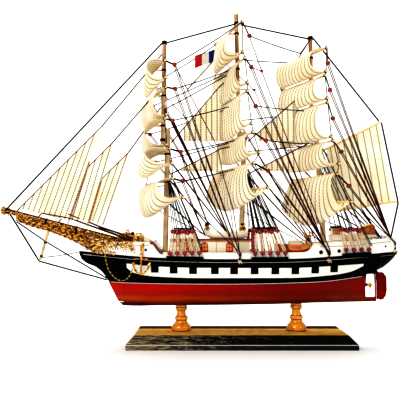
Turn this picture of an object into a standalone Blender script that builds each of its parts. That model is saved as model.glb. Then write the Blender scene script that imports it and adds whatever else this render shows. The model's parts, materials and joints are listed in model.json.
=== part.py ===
"""Wooden display model of a three-masted ship on a stand, after one photograph.

Lengths are in millimetres and are scaled to metres where an object is made.
+X is the stern, -X the bow, -Y is port, +Z is up, and the origin is the centre of
the board's underside.
"""
import math

import bmesh
import bpy
from mathutils import Matrix, Vector

MM = 0.001
GAP = 0.3                                   # left between pieces that touch

# The board and its two turned posts
BOARD_BOTTOM = (277.1, 82.6)
BOARD_TOP = (258.5, 64.0)
BOARD_EDGE = 6.3                            # upright edge below the chamfer
BOARD_THICK = 16.2
POST_X = (-73.6, 71.5)
POST_TURNING = (                            # radius, height above the board
    (7.1, 31.6), (7.1, 29.3), (7.6, 28.4), (7.6, 26.6), (5.9, 24.8), (5.6, 22.0), (6.5, 18.3),
    (8.4, 16.9), (8.4, 14.3), (7.0, 13.2), (7.6, 10.8), (10.5, 7.8), (12.4, 4.3), (12.4, 1.8),
    (11.3, GAP),
)

# Hull stations from bow to stern: x, keel height, deck edge height, half-breadth at the deck,
# and the power that makes a section full (small) or hollow (large)
STATIONS = (
    (-203.0, 112.6, 116.2, 1.8, 0.60),
    (-200.0, 106.3, 116.0, 2.2, 0.60),
    (-192.0, 100.2, 115.3, 3.8, 0.80),
    (-183.0, 96.7, 114.6, 6.6, 0.95),
    (-175.0, 90.8, 114.0, 9.8, 1.05),
    (-168.8, 83.2, 113.5, 12.6, 1.05),
    (-160.0, 66.8, 112.8, 16.8, 0.95),
    (-152.7, 53.5, 112.3, 20.0, 0.85),
    (-146.0, 47.8, 111.8, 22.4, 0.75),
    (-130.0, 47.3, 110.7, 26.6, 0.55),
    (-105.0, 47.6, 109.2, 30.0, 0.38),
    (-70.0, 48.2, 108.0, 31.6, 0.28),
    (-20.0, 48.9, 107.3, 32.0, 0.24),
    (40.0, 49.8, 107.3, 32.0, 0.25),
    (80.0, 50.6, 108.4, 31.4, 0.34),
    (110.0, 51.5, 110.4, 30.2, 0.52),
    (135.0, 52.2, 112.2, 28.0, 0.95),
    (153.0, 52.6, 113.2, 25.6, 1.60),
    (172.5, 53.2, 114.4, 22.0, 2.60),
    (172.9, 90.6, 114.5, 21.9, 0.62),
    (181.0, 95.2, 115.1, 19.6, 0.55),
    (188.0, 100.4, 115.6, 17.2, 0.50),
    (194.0, 106.6, 116.1, 14.8, 0.45),
    (197.6, 112.4, 116.4, 13.0, 0.45),
)
SECTION_STEPS = (0.0, 0.03, 0.10, 0.22, 0.40, 0.62, 0.82, 1.0)
KEEL_HALF = 2.0
WATERLINE = ((-203.0, 77.4), (-20.0, 76.6), (90.0, 78.8), (153.0, 84.6), (200.0, 91.0))
BAND_LOW = ((-140.0, 96.5), (-132.0, 90.5), (-105.0, 86.2), (-50.0, 84.4), (60.0, 84.6),
            (110.0, 87.6), (135.0, 91.4), (152.0, 98.5))
BAND_HIGH = ((-140.0, 101.6), (-105.0, 98.6), (-50.0, 97.0), (60.0, 96.8), (110.0, 98.8),
             (152.0, 101.2))
BAND_PROUD = 0.7
WALE_ENDS = (-176.0, 194.0)
WALE_PROUD = 1.0
STRIP_STEPS = 3                             # facets across a band or rail
WALE_DROP = 3.4                             # the rub rail's depth below the deck edge

# The stern's gap for the propeller, the rudder and the propeller
APERTURE_X = (159.0, 171.3)
APERTURE_Z = (58.4, 87.6)
SHAFT_Z = 73.6
PROPELLER_X = 165.2
PROPELLER_RADIUS = 5.6
RUDDER_AXIS_X = 174.9
RUDDER_THICK = 3.0
RUDDER_BACK = ((186.0, 83.5), (186.0, 66.0), (184.6, 60.0), (181.5, 55.6), (177.8, 54.6))
RUDDER_TOP = (181.6, 89.4)
RUDDER_STOCK_Z = 90.6

# Bulwark: x, top height; it stands on the deck edge and goes all round
BULWARK = (
    (-176.0, 118.5), (-166.0, 122.5), (-155.0, 126.8), (-130.0, 127.4), (-109.0, 127.4),
    (-105.0, 125.0), (-102.0, 120.5), (-97.0, 115.6), (-90.0, 114.6), (0.0, 114.4),
    (76.0, 115.0), (82.0, 117.0), (86.0, 121.5), (89.5, 125.7), (130.0, 127.6), (165.0, 130.4),
    (188.0, 132.6),
)
BULWARK_THICK = 1.7
BULWARK_FRONT = ((-179.0, 8.0), (-179.0, 8.0))      # x and half-width at the deck, then at the top
TRANSOM = ((196.6, 13.6), (192.6, 15.6))
DECK_ENDS = (-172.0, 189.0)
MAIN_DECK = (-107.0, 86.0)                  # from the forecastle's break to the poop's
MAIN_DECK_Z = 110.4
CASTLE_DECK_Z = 121.0
POOP_DECK_Z = 121.0
DECK_INSET = 2.3                            # deck edge inside the bulwark's outer face

# Channels that spread the shrouds: mast, centre x, length
CHANNELS = (("fore", -72.0, 45.0), ("main", 33.5, 45.0), ("mizzen", 143.0, 35.0))
CHANNEL_OUT = 6.0
CHANNEL_THICK = 1.5
CHANNEL_DROP = 2.2                          # middle of the ledge below the deck edge

# Masts: name, lower mast foot x and z, its head x and z, upper mast foot z, head x and z
MASTS = {
    "fore": {"foot": (-94.3, 110.7), "head": (-91.2, 271.8), "top_foot_z": 252.0, "top": (-96.1, 387.7)},
    "main": {"foot": (2.7, 132.2), "head": (6.9, 268.0), "top_foot_z": 262.4, "top": (-3.0, 423.4)},
    "mizzen": {"foot": (107.6, 121.3), "head": (99.8, 262.0), "top_foot_z": 254.6, "top": (93.2, 393.6)},
}
LOWER_RADIUS = 3.5
UPPER_RADIUS = 2.75
CAP_SIZE = (11.0, 6.4, 3.0)

# Square sails, top to bottom: yard height, foot height, half-lengths of yard and foot stick,
# yard ahead of the mast's face, foot stick aft of the yard, belly at the port edge, at the
# starboard edge and extra in the middle, its share in the upper half, rise at the yard, fall at
# the foot, extra fall in the middle, and the swing of yard and foot stick in degrees (port aft)
SQUARE_SAILS = {
    "fore": (
        (349.0, 327.5, 43.0, 45.0, 8.0, 0.0, 21.0, 6.0, 2.0, 1.0, 13.0, 2.0, 40.0, 19.5, 19.5),
        (315.5, 281.5, 46.0, 48.0, 7.0, 0.0, 15.0, 9.0, 0.0, 1.0, 0.0, 4.0, 8.0, 19.5, 19.5),
        (276.5, 244.8, 48.0, 50.0, 8.0, 1.0, 25.0, 6.0, 0.0, 1.0, 2.0, 3.0, 4.0, 19.5, 20.0),
        (239.8, 222.0, 50.0, 54.0, 8.0, 1.0, 30.0, 10.0, 6.0, 1.0, 9.0, 2.0, 38.0, 19.5, 20.0),
        (204.0, 181.0, 52.0, 60.0, 7.0, 4.0, 24.0, 8.0, 6.0, 1.0, 2.0, 8.0, 54.0, 22.0, 27.0),
    ),
    "main": (
        (397.0, 358.8, 43.0, 46.0, 8.0, 0.0, 19.0, 3.0, 6.0, 0.5, 0.0, 8.0, 34.0, 20.0, 19.0),
        (350.5, 320.0, 48.0, 50.0, 8.0, 2.0, 12.0, 5.0, 0.0, 0.9, 0.0, 8.0, 34.0, 20.0, 20.0),
        (309.5, 269.5, 50.0, 54.0, 7.0, 1.0, 11.0, 5.0, 0.0, 0.9, 0.0, 8.0, 34.0, 20.0, 22.0),
        (259.4, 235.0, 52.0, 55.0, 8.0, 4.0, 13.0, 6.0, 0.0, 0.9, 0.0, 8.0, 20.0, 20.0, 22.0),
        (222.0, 192.0, 56.0, 64.0, 8.0, 4.0, 14.0, 10.0, 2.0, 0.8, 0.0, 28.0, 42.0, 20.0, 27.0),
    ),
    "mizzen": (
        (365.0, 335.8, 42.0, 43.0, 8.0, 0.0, 19.0, 8.0, 0.0, 1.0, 6.0, 2.0, 16.0, 29.0, 27.0),
        (331.0, 302.5, 41.0, 43.0, 8.0, 0.0, 14.0, 6.0, 0.0, 0.9, 0.0, 4.0, 12.0, 27.0, 28.0),
        (297.5, 255.0, 42.0, 46.0, 7.0, 1.0, 15.0, 6.0, 0.0, 0.9, 0.0, 4.0, 12.0, 28.0, 28.0),
        (250.2, 222.0, 45.0, 49.0, 6.0, 2.0, 15.0, 6.0, 0.0, 0.9, 0.0, 4.0, 14.0, 24.4, 26.0),
        (210.0, 176.0, 45.0, 56.0, 4.0, 1.0, 12.0, 6.0, 0.0, 0.9, 0.0, 24.0, 54.0, 24.4, 31.0),
    ),
}
YARD_RADIUS = 1.5
SAIL_THICK = 1.1
SAIL_INSET = 4.0                            # stick shown beyond each edge of the sail
SAIL_STEPS = (6, 9)                         # quads across and down a square sail
PARREL_RADIUS = 1.4

# Flat fore-and-aft sails: name, y, corners as x and z, the bent points of the line that holds
# the leading edge, and the square sails that this line passes through
FLAT_SAILS = (
    ("jib_outer", 1.7, ((-281.0, 170.2), (-176.2, 276.6), (-215.8, 154.6)),
     ((-284.0, 167.1), (-176.2, 276.6), (-99.5, 370.6)), ("sail_fore_1",)),
    ("jib_middle", 0.0, ((-251.9, 163.8), (-162.8, 254.2), (-190.2, 152.4)),
     ((-255.9, 159.8), (-162.8, 254.2), (-100.6, 327.2)), ("sail_fore_2",)),
    ("jib_inner", -1.7, ((-219.4, 163.6), (-141.1, 242.3), (-171.6, 148.2)),
     ((-229.8, 153.2), (-141.1, 242.3), (-100.6, 300.0)), ("sail_fore_2", "sail_fore_3")),
    ("staysail_upper_fore", 0.0, ((-70.6, 256.9), (-70.6, 275.0), (-25.0, 327.2), (-25.0, 256.9)),
     ((-87.2, 254.5), (-25.0, 327.2), (-5.3, 346.5)), ("sail_main_2",)),
    ("staysail_lower_fore", 0.0, ((-74.7, 218.2), (-74.7, 221.0), (-22.5, 247.0), (-22.5, 218.2)),
     ((-88.2, 213.7), (-22.5, 247.0), (2.3, 253.0)), ("sail_main_4",)),
    ("staysail_upper_main", 0.0, ((25.0, 256.8), (25.0, 268.0), (71.0, 308.0), (71.0, 256.8)),
     ((11.3, 256.1), (71.0, 308.0), (89.8, 324.4)), ("sail_mizzen_2",)),
    ("staysail_lower_main", 0.0, ((27.0, 218.2), (27.0, 222.0), (76.0, 247.0), (76.0, 218.2)),
     ((9.6, 213.1), (76.0, 247.0), (90.0, 254.1)), ()),
)
LUFF_RADIUS = 0.7
EYELET_RADIUS = 1.3

# Round spars: name, material, first end, second end, first radius, second radius
SPARS = (
    ("bowsprit", "pale_wood", (-138.0, 0.0, 124.9), (-300.0, 0.0, 168.0), 3.6, 2.4),
    ("dolphin_striker", "pale_wood", (-243.2, 0.0, 140.4), (-253.0, 0.0, 104.8), 1.5, 1.2),
)

# The spanker's two spars: foot at the mast, outer end, first radius, second radius
GAFF = ((105.4, 0.0, 243.4), (182.2, 0.0, 281.3), 1.6, 1.4)
BOOM = ((109.3, 0.0, 165.1), (201.6, 0.0, 179.0), 1.7, 1.4)
SPANKER = ((113.5, 165.8), (113.5, 247.0), (180.2, 279.8), (195.6, 178.0))

# Main stays: name, and the x and z of the points that each passes
STAYS = (
    ("stay_bowsprit_fore", ((-296.0, 170.2), (-99.5, 384.6))),
    ("stay_fore_main", ((-92.8, 385.4), (-5.95, 409.6))),
    ("stay_main_mizzen", ((0.5, 409.6), (90.0, 390.6))),
    ("stay_mizzen_gaff", ((96.8, 391.4), (180.4, 282.6))),
    ("stay_stern", ((183.5, 280.9), (202.45, 181.0), (202.75, 176.0), (193.0, 133.4))),
    ("stay_bow", ((-292.0, 162.6), (-254.2, 103.2), (-167.7, 79.6))),
)
STAY_RADIUS = 0.6

# Houses and boxes on deck: name, material, x from and to, half-width, z from and to
HOUSES = (
    ("deckhouse", "cream_paint", (-86.0, 12.0), 16.0, (110.7, 129.6)),
    ("companion", "cream_paint", (62.0, 79.0), 7.0, (110.7, 131.0)),
    ("poop_house", "cream_paint", (116.0, 170.0), 13.0, (121.3, 136.8)),
)
ROOF = ("deckhouse_roof", (-88.0, 15.0), 18.0, (129.9, 131.9))
SKYLIGHT = ((118.0, 130.0), 7.0, (136.0, 144.9))
WHEEL_BOX = (((150.0, 136.0), (150.0, 144.5), (167.0, 150.6), (171.0, 147.5), (171.0, 136.0)), 7.0)

# Boats: name, material, middle x and y, length, half-beam, keel z, gunwale z
BOATS = (
    ("long_boat_port", "cream_paint", (-18.0, -11.0), 56.0, 6.5, 131.7, 142.0),
    ("long_boat_starboard", "cream_paint", (-18.0, 11.0), 56.0, 6.5, 131.7, 142.0),
    ("deck_boat_port", "brown_wood", (66.0, -21.0), 39.0, 6.0, 109.9, 125.5),
    ("deck_boat_starboard", "brown_wood", (66.0, 21.0), 39.0, 6.0, 109.9, 125.5),
)

# The gold net below the bowsprit: x, top z, bottom z, half-width
BOW_NET = ((-284.0, 160.7, 154.6, 1.6), (-262.0, 154.8, 146.4, 3.0), (-238.6, 148.4, 139.8, 4.0),
           (-204.0, 139.0, 125.0, 6.6), (-188.0, 134.6, 115.5, 4.6), (-180.0, 132.4, 114.9, 5.0))

WINDLASS_X = -128.0
WINDLASS_DRUM = (5.0, 34.0)                 # radius and length across the ship
WINDLASS_Z = 130.0

ANCHOR_X = -121.4
ANCHOR_Y = 31.2
ANCHOR_TOP_Z = 126.0
ANCHOR_STOCK_Z = 107.2
ANCHOR_FOOT_Z = 88.6
ANCHOR_SPREAD = 9.6

# The flag: corners, the stick below it, and the line that hangs it from the main royal yard
FLAG = ((-28.2, 391.6), (-28.2, 375.0), (-57.0, 364.4), (-57.0, 381.6))
FLAG_Y = 43.0
FLAG_THICK = 0.8
FLAG_STICK = ((-67.8, FLAG_Y, 334.3), (-28.4, FLAG_Y, 377.6))
FLAG_STICK_RADIUS = 1.2
FLAG_HOIST = ((-28.6, FLAG_Y, 374.0), (-28.6, FLAG_Y, 395.2))
FLAG_HOIST_RADIUS = 0.8

FINISHES = {                                # colour, roughness, metallic
    "board_black": ((0.012, 0.011, 0.010), 0.22, 0.0),
    "post_varnish": ((0.66, 0.30, 0.05), 0.28, 0.0),
    "red_paint": ((0.36, 0.012, 0.006), 0.30, 0.0),
    "black_paint": ((0.008, 0.008, 0.010), 0.25, 0.0),
    "white_paint": ((0.86, 0.85, 0.78), 0.38, 0.0),
    "cream_paint": ((0.83, 0.76, 0.58), 0.45, 0.0),
    "roof_brown": ((0.11, 0.022, 0.012), 0.40, 0.0),
    "brown_wood": ((0.36, 0.12, 0.03), 0.40, 0.0),
    "deck_wood": ((0.62, 0.42, 0.20), 0.55, 0.0),
    "pale_wood": ((0.79, 0.60, 0.34), 0.50, 0.0),
    "sail_cloth": ((0.90, 0.80, 0.55), 0.85, 0.0),
    "black_thread": ((0.02, 0.015, 0.012), 0.70, 0.0),
    "brass": ((0.72, 0.46, 0.12), 0.30, 1.0),
    "flag_cloth": ((0.60, 0.60, 0.62), 0.80, 0.0),
}


def clear_scene():
    for obj in list(bpy.data.objects):
        bpy.data.objects.remove(obj, do_unlink=True)


def make_collection(name):
    collection = bpy.data.collections.new(name)
    bpy.context.scene.collection.children.link(collection)
    return collection


def finish(name):
    """Return the named finish, made once."""
    material = bpy.data.materials.get(name)
    if material is None:
        material = bpy.data.materials.new(name)
        material.use_nodes = True
        colour, roughness, metallic = FINISHES[name]
        shader = material.node_tree.nodes["Principled BSDF"]
        shader.inputs["Base Color"].default_value = (*colour, 1.0)
        shader.inputs["Roughness"].default_value = roughness
        shader.inputs["Metallic"].default_value = metallic
    return material


def between(table, x):
    """Height at x from a table of x and height."""
    if x <= table[0][0]:
        return table[0][1]
    for (x0, z0), (x1, z1) in zip(table, table[1:]):
        if x <= x1:
            return z0 + (z1 - z0) * (x - x0) / (x1 - x0)
    return table[-1][1]


def station(x):
    """Keel height, deck edge height, half-breadth and power at x."""
    if x <= STATIONS[0][0]:
        return STATIONS[0][1:]
    for first, second in zip(STATIONS, STATIONS[1:]):
        if x <= second[0]:
            share = (x - first[0]) / (second[0] - first[0])
            return tuple(a + (b - a) * share for a, b in zip(first[1:], second[1:]))
    return STATIONS[-1][1:]


def stations(start, end, extra=()):
    """Both ends, every station between them, and the extra places between them."""
    inside = {x for x, *_ in STATIONS if start < x < end} | {x for x in extra if start < x < end}
    return sorted({start, end} | inside)


def breadth(x, z):
    """Half-breadth of the hull at x and height z."""
    keel, deck, half, power = station(x)
    rise = min(max((z - keel) / (deck - keel), 0.0), 1.0)
    return max(KEEL_HALF, half * rise ** power) if half > KEEL_HALF else half


def skin(x, z):
    """Half-breadth of the faceted topsides at x and height z."""
    low, high = max(between(WATERLINE, x) + GAP, station(x)[0]), station(x)[1]
    levels = [low + (high - low) * step for step in SECTION_STEPS]
    return between([(level, breadth(x, level)) for level in levels], z)


class Yard:
    """The collections, and the ways of putting a shape in them."""

    def __init__(self):
        self.ship = make_collection("model_ship")
        self.cutters = make_collection("cutters")

    def add(self, name, mesh, material, smooth=False):
        obj = bpy.data.objects.new(name, mesh)
        self.ship.objects.link(obj)
        mesh.materials.clear()
        mesh.materials.append(finish(material))
        if smooth:
            mesh.shade_smooth()
            mesh.set_sharp_from_angle(angle=math.radians(40))
        return obj

    def add_tube(self, name, points, radius, material):
        """A thin line through a few points, as a bevelled curve with closed ends."""
        curve = bpy.data.curves.new(name, "CURVE")
        curve.dimensions = "3D"
        curve.bevel_depth = radius * MM
        curve.bevel_resolution = 1
        curve.use_fill_caps = True
        spline = curve.splines.new("POLY")
        spline.points.add(len(points) - 1)
        for point, place in zip(spline.points, points):
            point.co = (*(Vector(place) * MM), 1.0)
        curve.materials.append(finish(material))
        obj = bpy.data.objects.new(name, curve)
        self.ship.objects.link(obj)
        return obj

    def helper(self, name, mesh):
        obj = bpy.data.objects.new(name, mesh)
        self.cutters.objects.link(obj)
        obj.hide_render = True
        obj.display_type = "WIRE"
        return obj

    def boolean(self, obj, helper, operation):
        modifier = obj.modifiers.new(f"{operation.lower()} {helper.name}", "BOOLEAN")
        modifier.operation = operation
        modifier.object = helper
        return modifier


def box_mesh(name, x_range, y_range, z_range):
    """A box between two corners."""
    bm = bmesh.new()
    bmesh.ops.create_cube(bm, size=1.0)
    size = [b - a for a, b in (x_range, y_range, z_range)]
    middle = [(a + b) / 2 for a, b in (x_range, y_range, z_range)]
    bmesh.ops.scale(bm, vec=Vector(size) * MM, verts=bm.verts)
    bmesh.ops.translate(bm, vec=Vector(middle) * MM, verts=bm.verts)
    mesh = bpy.data.meshes.new(name)
    bm.to_mesh(mesh)
    bm.free()
    return mesh


def rod_mesh(name, start, end, radius, end_radius=None, sides=10):
    """A round rod or cone between two points."""
    first, second = Vector(start) * MM, Vector(end) * MM
    along = second - first
    turn = along.to_track_quat("Z", "Y").to_matrix().to_4x4()
    place = Matrix.Translation((first + second) / 2) @ turn
    bm = bmesh.new()
    bmesh.ops.create_cone(
        bm, cap_ends=True, segments=sides, radius1=radius * MM,
        radius2=(radius if end_radius is None else end_radius) * MM,
        depth=along.length, matrix=place,
    )
    mesh = bpy.data.meshes.new(name)
    bm.to_mesh(mesh)
    bm.free()
    return mesh


def loft_mesh(name, sections):
    """Skin a run of closed sections, each a list of points in one order, and cap both ends."""
    bm = bmesh.new()
    rings = [[bm.verts.new(Vector(point) * MM) for point in section] for section in sections]
    count = len(rings[0])
    for ring, following in zip(rings, rings[1:]):
        for i in range(count):
            j = (i + 1) % count
            bm.faces.new((ring[i], ring[j], following[j], following[i]))
    bm.faces.new(list(reversed(rings[0])))
    bm.faces.new(rings[-1])
    bmesh.ops.recalc_face_normals(bm, faces=bm.faces)
    mesh = bpy.data.meshes.new(name)
    bm.to_mesh(mesh)
    bm.free()
    return mesh


def ring_mesh(name, sections):
    """Skin a closed run of four-cornered sections, the last joined to the first."""
    bm = bmesh.new()
    rings = [[bm.verts.new(Vector(point) * MM) for point in section] for section in sections]
    count = len(rings[0])
    for ring, following in zip(rings, rings[1:] + rings[:1]):
        for i in range(count):
            j = (i + 1) % count
            bm.faces.new((ring[i], ring[j], following[j], following[i]))
    bmesh.ops.recalc_face_normals(bm, faces=bm.faces)
    mesh = bpy.data.meshes.new(name)
    bm.to_mesh(mesh)
    bm.free()
    return mesh


def plate_mesh(name, outline, y, thick):
    """A flat plate in the ship's middle plane, from an outline of x and z."""
    bm = bmesh.new()
    near = [bm.verts.new(Vector((x, y - thick / 2, z)) * MM) for x, z in outline]
    face = bm.faces.new(near)
    pushed = bmesh.ops.extrude_face_region(bm, geom=[face])
    moved = [item for item in pushed["geom"] if isinstance(item, bmesh.types.BMVert)]
    bmesh.ops.translate(bm, vec=Vector((0.0, thick, 0.0)) * MM, verts=moved)
    bmesh.ops.recalc_face_normals(bm, faces=bm.faces)
    mesh = bpy.data.meshes.new(name)
    bm.to_mesh(mesh)
    bm.free()
    return mesh


def line_mesh(name, points, y, radius):
    """A thin line through points of x and z, mitred where it bends."""
    places = [Vector((x, y, z)) for x, z in points]
    sections = []
    for i, place in enumerate(places):
        before, after = places[max(i - 1, 0)], places[min(i + 1, len(places) - 1)]
        across = (after - before).normalized().cross(Vector((0.0, 1.0, 0.0)))
        angles = [math.tau * k / 8 for k in range(8)]
        sections.append([
            place + across * radius * math.cos(a) + Vector((0.0, radius * math.sin(a), 0.0)) for a in angles
        ])
    return loft_mesh(name, sections)


def build_stand(yard):
    bottom, top = BOARD_BOTTOM, BOARD_TOP
    levels = ((0.0, bottom), (BOARD_EDGE, bottom), (BOARD_THICK, top))
    sections = [
        [(sx * size[0] / 2, sy * size[1] / 2, z) for sx, sy in ((-1, -1), (1, -1), (1, 1), (-1, 1))]
        for z, size in levels
    ]
    yard.add("stand_board", loft_mesh("stand_board", sections), "board_black")
    for side, x in zip(("fore", "aft"), POST_X):
        keel = station(x)[0]
        stretch = (keel - GAP - BOARD_THICK) / POST_TURNING[0][1]
        post = turned(f"post_{side}", POST_TURNING, stretch)
        obj = yard.add(f"stand_post_{side}", post, "post_varnish", smooth=True)
        obj.location = Vector((x, 0.0, BOARD_THICK)) * MM
        screw = obj.modifiers.new("turning", "SCREW")
        screw.steps = screw.render_steps = 20
        screw.use_merge_vertices = True
        screw.merge_threshold = 0.00005


def turned(name, profile, stretch):
    """A half profile, top to bottom, closed on the axis at both ends."""
    points = [(0.0, profile[0][1])] + list(profile) + [(0.0, profile[-1][1])]
    mesh = bpy.data.meshes.new(name)
    vertices = [(r * MM, 0.0, z * stretch * MM) for r, z in points]
    edges = [(i, i + 1) for i in range(len(vertices) - 1)]
    mesh.from_pydata(vertices, edges, [])
    return mesh


def hull_block(name, low, high):
    """The hull between two heights, given as functions of x."""
    sections = []
    for x, *_ in STATIONS:
        bottom, top = low(x), high(x)
        if top - bottom < 0.5:
            continue
        heights = [bottom + (top - bottom) * step for step in SECTION_STEPS]
        port = [(x, -breadth(x, z), z) for z in heights]
        starboard = [(x, breadth(x, z), z) for z in reversed(heights)]
        sections.append(port + starboard)
    return loft_mesh(name, sections)


def build_hull(yard):
    lower = hull_block(
        "hull_bottom", lambda x: station(x)[0],
        lambda x: max(min(between(WATERLINE, x), station(x)[1]), station(x)[0]),
    )
    bottom = yard.add("hull_bottom", lower, "red_paint")
    upper = hull_block(
        "hull_topsides", lambda x: max(between(WATERLINE, x) + GAP, station(x)[0]),
        lambda x: station(x)[1],
    )
    topsides = yard.add("hull_topsides", upper, "black_paint")
    aperture = yard.helper("aperture", box_mesh("aperture", APERTURE_X, (-20.0, 20.0), APERTURE_Z))
    yard.boolean(bottom, aperture, "DIFFERENCE")
    yard.boolean(topsides, aperture, "DIFFERENCE")
    boss = yard.helper("stern_tube", rod_mesh(
        "stern_tube", (150.0, 0.0, SHAFT_Z), (162.25, 0.0, SHAFT_Z), 2.6, 2.1, sides=10))
    yard.boolean(bottom, boss, "UNION")


def side_strip(name, side, low, high, places, proud, gap=GAP):
    """A strip laid along the hull's side between two heights, a gap off it."""
    sections = []
    for x in places:
        bottom, top = low(x), high(x)
        heights = [bottom + (top - bottom) * step / STRIP_STEPS for step in range(STRIP_STEPS + 1)]
        inner = [(x, side * (skin(x, z) + gap), z) for z in heights]
        outer = [(x, side * (skin(x, z) + gap + proud), z) for z in reversed(heights)]
        sections.append(inner + outer)
    return loft_mesh(name, sections)


def build_bands(yard):
    for word, side in (("port", -1), ("starboard", 1)):
        band = side_strip(
            f"gun_band_{word}", side, lambda x: between(BAND_LOW, x), lambda x: between(BAND_HIGH, x),
            stations(BAND_LOW[0][0], BAND_LOW[-1][0], [x for x, _ in BAND_LOW + BAND_HIGH]), BAND_PROUD)
        yard.add(f"gun_band_{word}", band, "white_paint")
        wale = side_strip(
            f"wale_{word}", side, lambda x: station(x)[1] - WALE_DROP, lambda x: station(x)[1] - GAP,
            stations(*WALE_ENDS), WALE_PROUD)
        obj = yard.add(f"wale_{word}", wale, "black_paint")
        for mast, x, length in CHANNELS:
            ledge = side_strip(
                f"channel_{mast}_{word}", side, lambda x: station(x)[1] - CHANNEL_DROP - CHANNEL_THICK / 2,
                lambda x: station(x)[1] - CHANNEL_DROP + CHANNEL_THICK / 2,
                stations(x - length / 2, x + length / 2), CHANNEL_OUT, GAP + WALE_PROUD / 2)
            yard.boolean(obj, yard.helper(f"channel_{mast}_{word}", ledge), "UNION")


def wall_end(corners, row, way):
    """Port and starboard corners of the wall across the ship's end; way is 1 at the stern."""
    (low_x, low_half), (top_x, top_half) = corners
    top = row[3]
    low = station(low_x)[1] + 1.5 * GAP
    inset = 1.2 * BULWARK_THICK
    port = [
        (low_x, -low_half, low), (top_x, -top_half, top),
        (top_x - way * BULWARK_THICK, inset - top_half, top),
        (low_x - way * BULWARK_THICK, inset - low_half, low),
    ]
    return [port, [(x, -y, z) for x, y, z in port]]


def build_bulwark(yard):
    """One white wall round the deck edge, with a flat front and transom."""
    rows = []
    for x in stations(BULWARK[0][0], BULWARK[-1][0], [x for x, _ in BULWARK]):
        _, deck, half, _ = station(x)
        rows.append((x, half, deck + GAP, between(BULWARK, x)))
    sections = []
    for x, half, low, top in rows:
        sections.append([(x, -half, low), (x, -half, top),
                         (x, BULWARK_THICK - half, top), (x, BULWARK_THICK - half, low)])
    sections += wall_end(TRANSOM, rows[-1], 1)
    for x, half, low, top in reversed(rows):
        sections.append([(x, half, low), (x, half, top),
                         (x, half - BULWARK_THICK, top), (x, half - BULWARK_THICK, low)])
    sections += [[(x, -y, z) for x, y, z in section] for section in wall_end(BULWARK_FRONT, rows[0], -1)]
    yard.add("bulwark", ring_mesh("bulwark", sections), "white_paint")


def build_decks(yard):
    """One stepped deck inside the bulwark: forecastle, main deck and poop."""
    runs = (
        (DECK_ENDS[0], MAIN_DECK[0], lambda x: min(CASTLE_DECK_Z, between(BULWARK, x) - 1.0)),
        (MAIN_DECK[0] + GAP, MAIN_DECK[1] - GAP, lambda x: MAIN_DECK_Z),
        (MAIN_DECK[1], DECK_ENDS[1], lambda x: POOP_DECK_Z),
    )
    sections = []
    for start, end, high in runs:
        for x in stations(start, end, [x for x, _ in BULWARK]):
            deck, half = station(x)[1] + GAP, station(x)[2] - DECK_INSET
            sections.append([(x, -half, deck), (x, half, deck), (x, half, high(x)), (x, -half, high(x))])
    yard.add("decks", loft_mesh("decks", sections), "deck_wood")


def build_houses(yard):
    for name, material, x_range, half, z_range in HOUSES:
        house = yard.add(name, box_mesh(name, x_range, (-half, half), z_range), material)
    name, x_range, half, z_range = ROOF
    yard.add(name, box_mesh(name, x_range, (-half, half), z_range), "roof_brown")
    x_range, half, z_range = SKYLIGHT
    skylight = yard.helper("skylight", box_mesh("skylight", x_range, (-half, half), z_range))
    outline, half = WHEEL_BOX
    wheel_box = yard.helper("wheel_box", plate_mesh("wheel_box", outline, 0.0, 2 * half))
    for top in (skylight, wheel_box):
        yard.boolean(house, top, "UNION")


# Cross-section of a boat: share of the half beam, share of the depth
BOAT_SECTION = ((-1.0, 1.0), (-0.92, 0.5), (-0.45, 0.06), (0.45, 0.06), (0.92, 0.5), (1.0, 1.0))


def build_boats(yard):
    """Each boat is a short loft: pointed ends, a flat keel and a raised sheer."""
    shape = ((-0.5, 0.10, 0.55), (-0.42, 0.45, 0.30), (-0.25, 0.85, 0.05), (0.0, 1.0, 0.0),
             (0.25, 0.92, 0.0), (0.42, 0.70, 0.12), (0.5, 0.50, 0.30))
    for name, material, (x, y), length, half, keel, gunwale in BOATS:
        sections = []
        for along, wide, lift in shape:
            depth = gunwale - keel
            low = keel + lift * depth
            top = gunwale + 1.6 * (2 * along) ** 2 - 1.6
            beam = half * wide
            sections.append([
                (x + along * length, y + share * beam, low + (top - low) * rise)
                for share, rise in BOAT_SECTION
            ])
        yard.add(name, loft_mesh(name, sections), material)


def build_bow(yard):
    sections = [
        [(x, -half * 0.5, top), (x, -half, (top + low) / 2), (x, -half * 0.6, low),
         (x, half * 0.6, low), (x, half, (top + low) / 2), (x, half * 0.5, top)]
        for x, top, low, half in BOW_NET
    ]
    yard.add("bow_net", loft_mesh("bow_net", sections), "brass")
    radius, length = WINDLASS_DRUM
    drum = rod_mesh("windlass", (WINDLASS_X, -length / 2, WINDLASS_Z),
                    (WINDLASS_X, length / 2, WINDLASS_Z), radius, sides=14)
    obj = yard.add("windlass", drum, "brass")
    for word, y in (("port", -11.0), ("starboard", 11.0)):
        cheek = yard.helper(f"windlass_cheek_{word}", box_mesh(
            f"windlass_cheek_{word}", (WINDLASS_X - 7.0, WINDLASS_X + 7.0), (y - 1.5, y + 1.5),
            (CASTLE_DECK_Z + GAP, WINDLASS_Z + 6.0)))
        yard.boolean(obj, cheek, "UNION")
    for word, side in (("port", -1), ("starboard", 1)):
        build_anchor(yard, f"anchor_{word}", side)


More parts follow.
